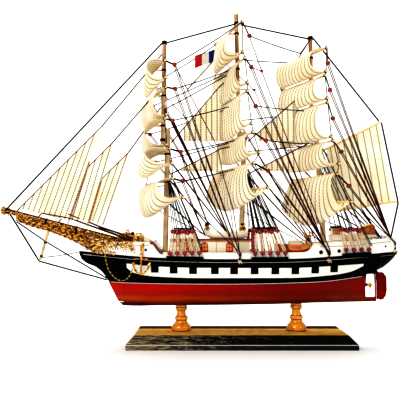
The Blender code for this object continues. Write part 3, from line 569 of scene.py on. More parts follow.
def buildSweep():
    size = studio["floorSize"]
    dropSelection()
    bpy.ops.mesh.primitive_plane_add(size=size, location=(0, studio["backdropY"] - size / 2, 0))
    floor = bpy.context.object
    opened(floor, "DESELECT")
    bm = bmesh.from_edit_mesh(floor.data)
    far = max(vertex.co.y for vertex in bm.verts)
    for edge in bm.edges:
        if all(abs(vertex.co.y - far) < 1e-6 for vertex in edge.verts):
            edge.select_set(True)
    bmesh.update_edit_mesh(floor.data)
    for rise in studio["rises"]:
        bpy.ops.mesh.extrude_region_move(TRANSFORM_OT_translate={"value": rise})
    turnTo("OBJECT")
    settle(floor, ("BEVEL", {"width": studio["bend"], "segments": 6, "angle_limit": 0.1}))
    floor.name = "floor"
    material, _, shader = newFinish("paperSweep", Roughness=0.95)
    shader.inputs["Base Color"].default_value = paint(studio["floor"])
    floor.data.materials.append(material)
    bpy.ops.object.shade_smooth()


def lightStudio():
    for name, (place, target, size, power) in studio["lights"].items():
        bpy.ops.object.light_add(type="AREA", location=place)
        lamp = bpy.context.object
        lamp.name = name
        lamp.data.energy, lamp.data.size = power, size
        aim = Vector(target) - Vector(place)
        lamp.rotation_euler = aim.to_track_quat("-Z", "Y").to_euler()
    world = bpy.data.worlds.new("paleRoom")
    bpy.context.scene.world = world
    world.use_nodes = True
    world.node_tree.nodes["Background"].inputs["Color"].default_value = (1, 1, 1, 1)
    world.node_tree.nodes["Background"].inputs["Strength"].default_value = studio["room"]


def placeCamera():
    bpy.ops.object.camera_add(location=Vector(studio["cameraPlace"]) * mm,
                              rotation=(radians(90 + studio["cameraPitch"]), 0, 0))
    camera = bpy.context.object
    camera.name = "photoCamera"
    camera.data.lens, camera.data.sensor_width = studio["lens"], studio["sensor"]
    camera.data.clip_start = studio["near"]
    scene = bpy.context.scene
    scene.camera = camera
    scene.view_settings.view_transform = "Standard"
    scene.view_settings.look = "Very High Contrast"
    print("studio set")


buildSweep()
lightStudio()
placeCamera()

# stations from bow to stern as x, keel, deck edge, half-breadth at deck, section power; lines as x and z
hull = {
    "stations": (
        (-203, 112.6, 116.2, 1.8, 0.6), (-200, 106.3, 116, 2.2, 0.6), (-192, 100.2, 115.3, 3.8, 0.8),
        (-183, 96.7, 114.6, 6.6, 0.95), (-175, 90.8, 114, 9.8, 1.05), (-168.8, 83.2, 113.5, 12.6, 1.05),
        (-160, 66.8, 112.8, 16.8, 0.95), (-152.7, 53.5, 112.3, 20, 0.85), (-146, 47.8, 111.8, 22.4, 0.75),
        (-130, 47.3, 110.7, 26.6, 0.55), (-105, 47.6, 109.2, 30, 0.38), (-70, 48.2, 108, 31.6, 0.28),
        (-20, 48.9, 107.3, 32, 0.24), (40, 49.8, 107.3, 32, 0.25), (80, 50.6, 108.4, 31.4, 0.34),
        (110, 51.5, 110.4, 30.2, 0.52), (135, 52.2, 112.2, 28, 0.95), (153, 52.6, 113.2, 25.6, 1.6),
        (172.5, 53.2, 114.4, 22, 2.6), (172.9, 90.6, 114.5, 21.9, 0.62), (181, 95.2, 115.1, 19.6, 0.55),
        (188, 100.4, 115.6, 17.2, 0.5), (194, 106.6, 116.1, 14.8, 0.45), (197.6, 112.4, 116.4, 13, 0.45)),
    "keelHalf": 2,
    "waterline": ((-203, 77.4), (-20, 76.6), (90, 78.8), (153, 84.6), (200, 91)),
    "bandLow": ((-140, 96.5), (-132, 90.5), (-105, 86.2), (-50, 84.4), (60, 84.6), (110, 87.6),
                (135, 91.4), (152, 98.5)),
    "bandHigh": ((-140, 101.6), (-105, 98.6), (-50, 97), (60, 96.8), (110, 98.8), (152, 101.2)),
    "bandProud": 0.7, "band": (-140, 152), "wale": (-186, 195), "waleDeep": 3.4, "waleProud": 1.1,
    "channels": ((-72, 45), (33.5, 45), (143, 35)), "channelOut": 6, "channelThick": 1.5,
    "channelDrop": 2.2, "aperture": ((159, -20, 58.4), (171.3, 20, 87.6)), "shaftZ": 73.6,
    "bottomEnds": (-165.6, 172.5), "topsideEnds": (-203, 197.6), "sternTube": (148, 162.2, 2.9, 2),
}
keelAt, deckAt, halfAt, powerAt = (
    curveThrough([(row[0], row[column]) for row in hull["stations"]]) for column in (1, 2, 3, 4))
waterlineAt = curveThrough(hull["waterline"])
bandLowAt, bandHighAt = curveThrough(hull["bandLow"]), curveThrough(hull["bandHigh"])


def hullHalf(x, z):
    # half-breadth of the hull at x and height z
    keel, deck, half = keelAt(x), deckAt(x), halfAt(x)
    rise = min(max((z - keel) / (deck - keel), 0), 1)
    return max(hull["keelHalf"], half * rise ** powerAt(x)) if half > hull["keelHalf"] else half


def hullXs(start, end, step=3):
    inner = [row[0] for row in hull["stations"] if start < row[0] < end]
    count = max(2, round((end - start) / step))
    steps = [start + (end - start) * i / count for i in range(count + 1)]
    return sorted(set(steps + inner))


def hullShell(name, xs, low, high, levels):
    # both sides and the bottom or top of the carved block between two heights
    sections = []
    for x in xs:
        bottom, top = low(x), high(x)
        heights = [bottom + (top - bottom) * share for share in levels]
        port = [(x, -hullHalf(x, z), z) for z in heights]
        sections.append(port + [(x, -y, z) for x, y, z in reversed(port)])
    obj = laidGrid(len(xs) - 1, len(sections[0]) - 1, lambda a, b: entryAt(entryAt(sections, a), b))
    pick(obj)
    turnTo("EDIT")
    bm = bmesh.from_edit_mesh(obj.data)
    rim = [edge for edge in bm.edges if len(edge.link_faces) == 1]
    top = [edge for edge in rim if abs(edge.verts[0].co.x - edge.verts[1].co.x) > 1e-7]
    bmesh.ops.bridge_loops(bm, edges=top)
    rim = [edge for edge in bm.edges if len(edge.link_faces) == 1]
    bmesh.ops.holes_fill(bm, edges=rim, sides=0)
    bmesh.update_edit_mesh(obj.data)
    turnTo("OBJECT")
    tidyNormals(obj)
    obj.name = name
    return obj


def cutBox(obj, low, high):
    cutter = block(low, high, 0.01)
    pick(obj)
    cut = obj.modifiers.new("Cut", "BOOLEAN")
    cut.operation, cut.object, cut.solver = "DIFFERENCE", cutter, "EXACT"
    bpy.ops.object.modifier_apply(modifier=cut.name)
    drop(cutter)


def sideStrip(xs, low, high, proud, side, rows=4):
    # a strip bent to the hull's side, half sunk in it
    def place(a, b):
        x = entryAt(xs, a)
        z = low(x) + (high(x) - low(x)) * b
        return x, side * hullHalf(x, z), z

    skin = laidGrid(len(xs) - 1, rows, place)
    tidyNormals(skin)
    return settle(skin, thickened(2 * proud))


def channelLedge(x, length, side):
    # the flat ledge that spreads a mast's shrouds
    xs = hullXs(x - length / 2, x + length / 2)

    def place(a, b):
        along = entryAt(xs, a)
        return along, side * (halfAt(along) + hull["channelOut"] * b), deckAt(along) - hull["channelDrop"]

    return settle(laidGrid(len(xs) - 1, 2, place), thickened(hull["channelThick"]), eased(0.3, 0.9))


def buildHull():
    keelMeets, stern = hull["bottomEnds"]
    while keelAt(keelMeets) < waterlineAt(keelMeets):
        keelMeets -= 0.1
    lower = hullShell("hullBottom", hullXs(keelMeets, stern), keelAt,
                      lambda x: max(waterlineAt(x), keelAt(x) + 0.05), [(i / 18) ** 1.9 for i in range(19)])
    upper = hullShell("hullTopsides", hullXs(*hull["topsideEnds"]),
                      lambda x: max(waterlineAt(x), keelAt(x)), deckAt, [i / 12 for i in range(13)])
    for part in (lower, upper):
        cutBox(part, *hull["aperture"])
    fitOut(lower, "hullBottom", redLacquer, "red_paint", replaces=["hull_bottom"], smooth=40)
    fitOut(upper, "hullTopsides", blackLacquer, "black_paint", replaces=["hull_topsides"], smooth=40)
    start, end, first, second = hull["sternTube"]
    tube = rod((start, 0, hull["shaftZ"]), (end, 0, hull["shaftZ"]), first, second, 16)
    fitOut(tube, "sternTube", redLacquer, "red_paint")
    for word, side in (("port", -1), ("starboard", 1)):
        band = sideStrip(hullXs(*hull["band"]), bandLowAt, bandHighAt, hull["bandProud"], side)
        fitOut(band, f"gunBand_{word}", whiteEnamel, "white_paint", replaces=[f"gun_band_{word}"])
        parts = [sideStrip(hullXs(*hull["wale"]), lambda x: deckAt(x) - hull["waleDeep"],
                           lambda x: deckAt(x) - 0.2, hull["waleProud"], side, 3)]
        parts += [channelLedge(x, length, side) for x, length in hull["channels"]]
        fitOut(parts, f"wale_{word}_ledges", blackLacquer, "black_paint", replaces=[f"wale_{word}"])
    print("hull carved and painted")


buildHull()

# the wall's top along the ship as x and z
bulwark = {
    "tops": ((-176, 118.5), (-166, 122.5), (-155, 126.8), (-130, 127.4), (-109, 127.4),
             (-105, 125), (-102, 120.5), (-97, 115.6), (-90, 114.6), (0, 114.4), (76, 115),
             (82, 117), (86, 121.5), (89.5, 125.7), (130, 127.6), (165, 130.4), (188, 132.6)),
    "stern": ((192, -15.9), (194.6, -12.6), (195.8, -7), (196.2, 0)),
    "frontX": -179, "frontHalf": 8, "thick": 1.7, "railOver": 0.7, "railThick": 0.8,
}
bulwarkTop = curveThrough(bulwark["tops"])


def bulwarkLine():
    # the wall's outer line from the bow's middle down the port side to the stern's middle
    line = [(bulwark["frontX"], 0), (bulwark["frontX"], -bulwark["frontHalf"] * 0.55)]
    extra = [x for x, _ in bulwark["tops"]]
    line += [(x, -halfAt(x)) for x in sorted(set(hullXs(-176, 188, 4) + extra))]
    return line + list(bulwark["stern"])


def buildBulwark():
    port = bulwarkLine()
    ring = port + [(x, -y) for x, y in reversed(port)][1:-1]
    ring.append(ring[0])
    inset = bulwark["thick"] / 2
    half = inset + bulwark["railOver"]

    def inward(a):
        x, y = entryAt(ring, a)
        return x, y - copysign(min(abs(y), inset), y)

    def wallPoint(a, b):
        x, y = inward(a)
        return x, y, deckAt(x) + 0.1 + (bulwarkTop(x) - deckAt(x) - 0.1) * b

    def capPoint(a, b):
        x, y = inward(a)
        return x, y + half * (2 * b - 1), bulwarkTop(x) + bulwark["railThick"] / 2

    for name, rows, place, thick, replaces in (
            ("bulwarkWall", 3, wallPoint, bulwark["thick"], ["bulwark"]),
            ("bulwarkRail", 1, capPoint, bulwark["railThick"], ())):
        sheet = laidGrid(len(ring) - 1, rows, place)
        tidyNormals(sheet)
        settle(sheet, thickened(thick))
        fitOut(sheet, name, whiteEnamel, "white_paint", replaces=replaces)
    print("bulwark stands")


buildBulwark()

# masts and square sails, on the lines of the solids

masts = {
    "fore": {"foot": (-94.3, 110.7), "head": (-91.2, 271.8), "topFootZ": 252, "top": (-96.1, 387.7)},
    "main": {"foot": (2.7, 132.2), "head": (6.9, 268), "topFootZ": 262.4, "top": (-3, 423.4)},
    "mizzen": {"foot": (107.6, 121.3), "head": (99.8, 262), "topFootZ": 254.6, "top": (93.2, 393.6)},
}
mastSizes = {"lower": 3.5, "upper": 2.75, "gap": 0.3}
# each sail: yard height, foot height, half-length of yard and foot stick, yard ahead of mast, foot aft of
# yard, belly at the port edge, at the starboard edge and extra in the middle, its share in the upper half,
# rise of the cloth at the yard, fall at the foot, extra fall in the middle, swing of yard and foot stick
sails = {
    "fore": ((349, 327.5, 43, 45, 8, 0, 21, 6, 2, 1, 13, 2, 40, 19.5, 19.5),
             (315.5, 281.5, 46, 48, 7, 0, 15, 9, 0, 1, 0, 4, 8, 19.5, 19.5),
             (276.5, 244.8, 48, 50, 8, 1, 25, 6, 0, 1, 2, 3, 4, 19.5, 20),
             (239.8, 222, 50, 54, 8, 1, 30, 10, 6, 1, 9, 2, 38, 19.5, 20),
             (204, 181, 52, 60, 7, 4, 24, 8, 6, 1, 2, 8, 54, 22, 27)),
    "main": ((397, 358.8, 43, 46, 8, 0, 19, 3, 6, 0.5, 0, 8, 34, 20, 19),
             (350.5, 320, 48, 50, 8, 2, 12, 5, 0, 0.9, 0, 8, 34, 20, 20),
             (309.5, 269.5, 50, 54, 7, 1, 11, 5, 0, 0.9, 0, 8, 34, 20, 22),
             (259.4, 235, 52, 55, 8, 4, 13, 6, 0, 0.9, 0, 8, 20, 20, 22),
             (222, 192, 56, 64, 8, 4, 14, 10, 2, 0.8, 0, 28, 42, 20, 27)),
    "mizzen": ((365, 335.8, 42, 43, 8, 0, 19, 8, 0, 1, 6, 2, 16, 29, 27),
               (331, 302.5, 41, 43, 8, 0, 14, 6, 0, 0.9, 0, 4, 12, 27, 28),
               (297.5, 255, 42, 46, 7, 1, 15, 6, 0, 0.9, 0, 4, 12, 28, 28),
               (250.2, 222, 45, 49, 6, 2, 15, 6, 0, 0.9, 0, 4, 14, 24.4, 26),
               (210, 176, 45, 56, 4, 1, 12, 6, 0, 0.9, 0, 24, 54, 24.4, 31)),
}
sailCut = {"inset": 4, "thick": 0.8, "stick": 1.5, "seam": 7, "puff": 0.35, "creases": 0.9,
           "across": 56, "down": 30, "parrel": 1.4, "hem": 0.5}


def mastLine(mast, z):
    # x and radius of the spar that faces forward at height z
    data = masts[mast]
    (x0, z0), (x1, z1) = data["foot"], data["head"]
    if z < data["topFootZ"] - 1:
        return x0 + (x1 - x0) * (z - z0) / (z1 - z0), mastSizes["lower"]
    footX = (x0 + (x1 - x0) * (data["topFootZ"] - z0) / (z1 - z0)
             - mastSizes["lower"] - mastSizes["upper"] - mastSizes["gap"])
    topX, topZ = data["top"]
    return footX + (topX - footX) * (z - data["topFootZ"]) / (topZ - data["topFootZ"]), mastSizes["upper"]


def stickPoint(centre, half, swing, side, height):
    angle = radians(swing)
    reach = half / cos(angle)
    return vec(centre - side * reach * sin(angle), side * reach * cos(angle), height)


def sailFrame(mast, number):
    # middle x of the yard and the foot stick, with the sail's row
    row = sails[mast][number - 1]
    mastX, mastRadius = mastLine(mast, row[0])
    yardX = mastX - mastRadius - row[4]
    return row, yardX, yardX + row[5], mastX - mastRadius


def yardPoint(mast, number, share, foot=False):
    # a point on the yard or foot stick, share from -1 at the port end to 1
    row, yardX, footX, _ = sailFrame(mast, number)
    if foot:
        return stickPoint(footX, abs(share) * row[3], row[14], copysign(1, share), row[1])
    return stickPoint(yardX, abs(share) * row[2], row[13], copysign(1, share), row[0])


def clothPiece(name, place, map2, across, down, material, replaces, rests, held="stretched", thick=None):
    # a sheet laid by place(a, b), with its pattern from map2(a, b), thickened to cloth
    points = [[Vector(place(c / across, r / down)) for c in range(across + 1)] for r in range(down + 1)]
    obj = settle(laidGrid(across, down, place, map2), thickened(thick or sailCut["thick"]))
    fitOut(obj, name, material, "sail_cloth", replaces=replaces, smooth=60)
    return obj


def squareSail(mast, number):
    row, yardX, footX, mastFace = sailFrame(mast, number)
    yardZ, footZ, yardHalf, footHalf, _, _, port, starboard, middle, high, rise, fall, sag, *swings = row
    cut = sailCut
    topHalf, lowHalf = yardHalf - cut["inset"], footHalf - cut["inset"]
    seed = vec(7.3 * number, len(mast) * 3.1, 0.7)
    centreDrop = (yardZ - footZ) + port + middle + sag * 0.6

    def place(a, b):
        side, t, s = 2 * a - 1, b, 1 - b
        way = copysign(1, side)
        top = stickPoint(yardX, abs(side) * topHalf, swings[0], way, yardZ)
        foot = stickPoint(footX, abs(side) * lowHalf, swings[1], way, footZ)
        across = side * topHalf
        puff = cut["puff"] * abs(sin(pi * across / cut["seam"])) * sin(pi * t)
        crease = cut["creases"] * noise.noise(vec(side * 1.7, t * 1.3, 0) + seed) * sin(pi * t)
        inner = 1 - side * side
        depth = (port + (starboard - port) * (1 + side) / 2 + middle * inner + puff + crease) * 4 / 3
        upper = top + vec(-depth * high, 0, rise)
        lower = foot + vec(-depth * (2 - high), 0, -fall - sag * inner)
        return top * s ** 3 + upper * 3 * s * s * t + lower * 3 * s * t * t + foot * t ** 3

    name = f"sail_{mast}_{number}"
    clothPiece(f"{name}_cloth", place, lambda a, b: ((2 * a - 1) * topHalf, b * centreDrop),
               cut["across"], cut["down"], sailCotton, [name], [f"{name}_sticks"])
    parts = [rod(yardPoint(mast, number, -1, low), yardPoint(mast, number, 1, low), cut["stick"])
             for low in (False, True)]
    parts.append(rod((yardX, 0, yardZ), (mastFace - 0.2, 0, yardZ), cut["parrel"]))
    fitOut(parts, f"{name}_sticks", birchDowel, "pale_wood")
    return [[place(a, i / 24) for i in range(25)] for a in (0.002, 0.998)]


def buildSquareSails():
    hems = []
    for mast in sails:
        for number in range(1, 6):
            hems += squareSail(mast, number)
    threads("squareSailHems", hems, sailCut["hem"], creamThread, "sail_cloth", 6)
    print("square sails bent on")


buildSquareSails()

# flat sails: y, corners as x and z (tack, peak, then aft ones), the direction of the seams
flatSails = {
    "jib_outer": (1.7, ((-281, 170.2), (-176.2, 276.6), (-215.8, 154.6)), (39.6, 122)),
    "jib_middle": (0, ((-251.9, 163.8), (-162.8, 254.2), (-190.2, 152.4)), (27.4, 101.8)),
    "jib_inner": (-1.7, ((-219.4, 163.6), (-141.1, 242.3), (-171.6, 148.2)), (30.5, 94.1)),
    "staysail_upper_fore": (0, ((-70.6, 256.9), (-70.6, 275), (-25, 327.2), (-25, 256.9)), (0, 1)),
    "staysail_lower_fore": (0, ((-74.7, 218.2), (-74.7, 221), (-22.5, 247), (-22.5, 218.2)), (0, 1)),
    "staysail_upper_main": (0, ((25, 256.8), (25, 268), (71, 308), (71, 256.8)), (0, 1)),
    "staysail_lower_main": (0, ((27, 218.2), (27, 222), (76, 247), (76, 218.2)), (0, 1)),
    "spanker": (0, ((113.5, 165.8), (113.5, 247), (180.2, 279.8), (195.6, 178)), (-15.4, 101.8)),
}
# the line that each jib or staysail runs on, drawn out to the spars at both ends
luffLines = {
    "jib_outer": ((-284, 167.1), (-176.2, 276.6), (-99.5, 370.6)),
    "jib_middle": ((-255.9, 159.8), (-162.8, 254.2), (-100.6, 327.2)),
    "jib_inner": ((-229.8, 153.2), (-141.1, 242.3), (-100.6, 300)),
    "staysail_upper_fore": ((-87.2, 254.5), (-25, 327.2), (-5.3, 346.5)),
    "staysail_lower_fore": ((-88.2, 213.7), (-22.5, 247), (2.3, 253)),
    "staysail_upper_main": ((11.3, 256.1), (71, 308), (89.8, 324.4)),
    "staysail_lower_main": ((9.6, 213.1), (76, 247), (90, 254.1)),
}
gaffAndBoom = {"gaff": ((105.4, 0, 243.4), (182.2, 0, 281.3), 1.6, 1.4),
               "boom": ((109.3, 0, 165.1), (201.6, 0, 179), 1.7, 1.4)}
flatCut = {"belly": 2.2, "jibBelly": 0.4, "thick": 0.8, "sheeted": 7, "grid": 28, "hem": 0.45, "luff": 0.82,
           "leech": 0.42, "leechTops": (("jib_outer", 0.62), ("jib_middle", 0.52))}


def clothOf(name):
    if name == "spanker":
        return sailCottonWide
    return sailCottonJib if name.startswith("jib") else sailCotton


def flatSail(name):
    y, corners, seams = flatSails[name]
    edgeCount = len(corners)
    if edgeCount == 3:
        corners = (corners[0], corners[1], corners[1], corners[2])
    tack, peak, throat, clew = (Vector((x, y, z)) for x, z in corners)
    along = vec(seams[0], 0, seams[1]).normalized()
    across = vec(along.z, 0, -along.x)
    jib = name.startswith("jib")
    reach, sheet = (flatCut["jibBelly"], flatCut["sheeted"]) if jib else (flatCut["belly"], 0)

    def place(a, b):
        point = (tack * (1 - a) + clew * a) * (1 - b) + (peak * (1 - a) + throat * a) * b
        swell = sin(pi * a) * sin(pi * min(b * 1.15, 1))
        fold = noise.noise(vec(point.x * 0.03, y, point.z * 0.012))
        side = -1 if y <= 0 else 1
        return point + vec(0, side * (swell * reach + fold * 0.5 * swell) - sheet * a * (1 - b), 0)

    def pattern(a, b):
        point = place(a, b)
        return point.dot(across), point.dot(along)

    clothPiece(f"{name}_cloth", place, pattern, flatCut["grid"], flatCut["grid"], clothOf(name), [name],
               [f"{name}_hem"], thick=flatCut["thick"])
    shares = [i / 16 for i in range(17)]
    edges = [[place(0.003, share) for share in shares], [place(share, 0.004) for share in shares],
             [place(0.997, share) for share in shares]]
    if edgeCount == 4:
        edges.append([place(share, 0.996) for share in shares])
    threads(f"{name}_hem", edges, flatCut["hem"], creamThread, "sail_cloth", 6)


def buildLeechRopesAndShadow():
    # the doubled tan leech lines of the two forward jibs, sewn down their aft edges: partly the leech rope
    # and partly a painted shadow of the leech, hence two strands side by side
    ropes = []
    for name, top in flatCut["leechTops"]:
        y, (_, head, clew), _ = flatSails[name]
        for offset in (-0.7, 0.8):
            line = []
            for i in range(17):
                b = top * (1 - i / 16) - 0.06 * i / 16
                x, z = (clew[k] + (head[k] - clew[k]) * b for k in (0, 1))
                line.append(vec(x + offset, y - flatCut["sheeted"] * (1 - b) - 1.1, z))
            ropes.append(line)
    threads("leechRopesAndShadow", ropes, flatCut["leech"], leechThread, sides=6)


def buildFlatSails():
    for name in flatSails:
        flatSail(name)
    lines = [[(x, flatSails[name][0], z) for x, z in points] for name, points in luffLines.items()]
    threads("luffLines", lines, flatCut["luff"], brownThread, sides=6)
    buildLeechRopesAndShadow()
    fitOut(joined([rod(*spar, 14) for spar in gaffAndBoom.values()]), "gaffAndBoom", birchDowel, "pale_wood")
    print("jibs, staysails and spanker set")


buildFlatSails()


def dress(node, material):
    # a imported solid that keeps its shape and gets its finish
    for held in bpy.data.objects[node].material_slots:
        held.material = material


for mast in masts:
    dress(f"mast_{mast}", mastDowel)

# main stays in the ship's middle plane, as x and z
stays = {
    "stay_bowsprit_fore": ((-296, 170.2), (-99.5, 384.6)),
    "stay_fore_main": ((-92.8, 385.4), (-5.95, 409.6)),
    "stay_main_mizzen": ((0.5, 409.6), (90, 390.6)),
    "stay_mizzen_gaff": ((96.8, 391.4), (180.4, 282.6)),
    "stay_stern": ((183.5, 280.9), (202.45, 181), (202.75, 176), (193, 133.4)),
    "stay_bow": ((-292, 162.6), (-254.2, 103.2), (-167.7, 79.6)),
}
stayCord = {"radius": 1, "sides": 8, "pieces": 8}


def buildStays():
    count = stayCord["pieces"]
    for name, points in stays.items():
        path = [vec(x, 0, z) for x, z in points]
        fine = [a.lerp(b, i / count) for a, b in zip(path, path[1:]) for i in range(count)] + path[-1:]
        cord = tubes([fine], stayCord["radius"], stayCord["sides"])
        fitOut(cord, f"{name}_cord", blackThread, "black_thread", replaces=[name])
    dress("decks", deckPine)
    print("main stays set up")


buildStays()

fineBrush = (300, 300, 300)
# Lacquered wooden beads, red and a darker red copy: small, glossy, a little uneven
beadLacquer = lacquerFinish("redBeadLacquer", "A81006", "4E0303", 0.14, 0.3, 0.1, fineBrush)
beadOxblood = lacquerFinish("oxbloodBeadLacquer", "3E0A08", "140202", 0.14, 0.8, 0.1, fineBrush)
# Red-brown stain on the curved edge of the forecastle's break
breakStain = grainedFinish("redBrownEdgeStain", "7A2A10", "240803", (60, 500, 500), 0.35, 0.3)
# Gold hobby paint over cast metal: bright on top, brown where it thinned
goldPaint = lacquerFinish("castGoldPaint", "FFD468", "7A4208", 0.3, 0.25, 0.3, (420, 420, 420))
tuned(goldPaint, Metallic=0.35)


def giltFinish(name, light, middle, dark, size):
    # gilt over dark stain: bright where rubbed, brown in the hollows; size is the grain in millimetres
    material, tree, shader = newFinish(
        name, Roughness=0.3, Metallic=0.25, Coat_Weight=0.3, Coat_Roughness=0.1)
    grain = noisy(tree, scaled(tree, placeOn(tree), (420 / size, 1000 / size, 1150 / size)), 1, 3)
    painted(tree, shader, ramp(tree, grain, (0.40, dark), (0.5, middle), (0.58, light)))
    bumped(tree, shader, grain, 0.5)
    return material


netGilt = giltFinish("rubbedGiltNet", "FFD050", "C06C12", "240A02", 1.7)
scrollGilt = giltFinish("rubbedGiltScroll", "FFDC80", "C88422", "341204", 1.9)
# Thin bright brass wire of the chains
chainBrass = lacquerFinish("brightBrassWire", "FFE85A", "C89A18", 0.25, 0.3, 0.05, fineBrush)
# Painted shade: darker brass for every second link of the chains
chainShaded = lacquerFinish("shadedBrassWire", "5A4410", "1E1404", 0.35, 0.1, 0.05, fineBrush)
# Flat black: the own black of the gunports, battens and knobs seen as dark, and painted shade in the round
# holes
flatBlackAndHoleShade = tuned(lacquerFinish("flatBlackAndHoleShade", "050404", "020202", 0.5, 0, 0.05), Specular_IOR_Level=0.05)

# beadDrops: how far each bead hangs aft of and below its yard's port end, top sail first; bundles: where each
# mast's braces end at the rail; places are x, half-width and z; shares are of a yard's half-length
rigging = {
    "beadDrops": {"fore": ((11.2, 5.5), (10.5, 2.6), (8.5, 2.7), (12.4, 4), (11.3, 3.3)),
                  "main": ((7.7, 17.9), (6.7, 11.5), (8.8, 18.5), (14.2, 10.4), (15.8, 9.6)),
                  "mizzen": ((-0.2, 19.3), (4.5, 18.3), (4.7, 19.8), (8.3, 13.7), (12.5, 14.5))},
    "bundles": {"fore": (-1.6, 33.5, 110.7), "main": (106.8, 31, 112), "mizzen": (192.3, 15, 123.4)},
    "mastBraces": {"fore": {2: ("main", 352), 3: ("main", 304), 4: ("main", 260), 5: ("main", 223)},
                   "main": {3: ("mizzen", 295), 4: ("mizzen", 252.5)}},
    "foreEnds": ((-1.6, 33.5, 118.5), (-11.7, 20, 134.1), (-15, 12, 137.7), (-40, 12, 147.1),
                 (-45.1, 20, 134.1)),
    "foreRope": ((-28.4, 20, 247.3), (-21, 25, 208.4), (-9.6, 28, 169), (-1.6, 33.5, 112)),
    "pendant": (76.3, 20, 364.8), "link": (24.7, 45, 334.9), "foreLink": (-93, 40, 289),
    "pendantZ": 390, "foreLinkZ": 350, "linkBead": 0.72, "pendantBead": 0.5,
    "braceAt": 0.97, "leechAt": 0.96, "lashAt": 0.955, "lashRadius": 1.9,
    "bead": 2.75, "brace": 0.61, "shroud": 0.56, "thread": 0.7, "lashing": 0.55, "lanyard": 0.45, "gap": 0.8,
    "fall": 0.36, "batten": 0.9, "tassel": 0.6, "tassels": 4,
}
# the shrouds' heads: how far aft of the mast the first is, then each one's step aft and down, and its share
# of the mast's radius; the lanyards and falls by shift along x; the strung beads as x, half-width and top
shroudWork = {
    "headAft": 1.5, "headStep": 0.7, "headDown": 1.5, "headOut": 0.8, "lanyards": (-1.7, 0, 1.7),
    "falls": (-0.85, 2.6), "fallIn": 0.5, "tail": 5.2, "strung": (14, 30.5, 142), "strungStep": 4.6,
    "count": 5,
}
# shrouds by mast: first x of the lower row, count, gap, half-width and height of the lower row, first x, gap,
# half-width and height of the upper row, height at the mast, count of the upper row
shroudRows = {
    "fore": (-86.5, 5, 8.9, 35.6, 114.6, -83.5, 6, 30, 141, 206, 5),
    "main": (16.4, 5, 9.2, 35.4, 114.4, 15.8, 7, 29.6, 142, 214, 5),
    "mizzen": (127.6, 4, 9.2, 31.4, 118.6, 123, 7.4, 26.4, 143.4, 240, 4),
}


def sided(point, side):
    return vec(point[0], side * abs(point[1]), point[2])


def beadPlace(mast, number, side):
    # the starboard beads hang a little nearer their yards
    aft, down = rigging["beadDrops"][mast][number - 1]
    return yardPoint(mast, number, side) + vec(aft * 0.8 if side > 0 else aft, 0, -down)


def slack(start, end, sag=0, steps=10):
    # a thread between two points that hangs by sag in its middle
    start, end = Vector(start), Vector(end)
    return [start.lerp(end, i / steps) - vec(0, 0, 4 * sag * (i / steps) * (1 - i / steps))
            for i in range(steps + 1)]


def lashing(point, radius, turns=3, width=2):
    # a thread wound round a stick at a point, its axis along Y
    steps = turns * 8
    return [(point[0] + cos(tau * turns * i / steps) * radius,
             point[1] + width * (i / steps - 0.5),
             point[2] + sin(tau * turns * i / steps) * radius) for i in range(steps + 1)]


def beadPattern(radius):
    # a turned bead: a sphere flattened a little at the bored ends
    dropSelection()
    bpy.ops.mesh.primitive_uv_sphere_add(segments=16, ring_count=10, radius=radius * mm)
    obj = bpy.context.object
    for vertex in obj.data.vertices:
        vertex.co.z = max(min(vertex.co.z, radius * 0.9 * mm), -radius * 0.9 * mm)
    return obj


def stringBeads(name, radius, places, material=None, slot="red_paint"):
    # copies of one bead under one name
    pattern = beadPattern(radius)
    fitOut(copies(pattern, places), name, material or beadLacquer, slot, smooth=50)
    drop(pattern)


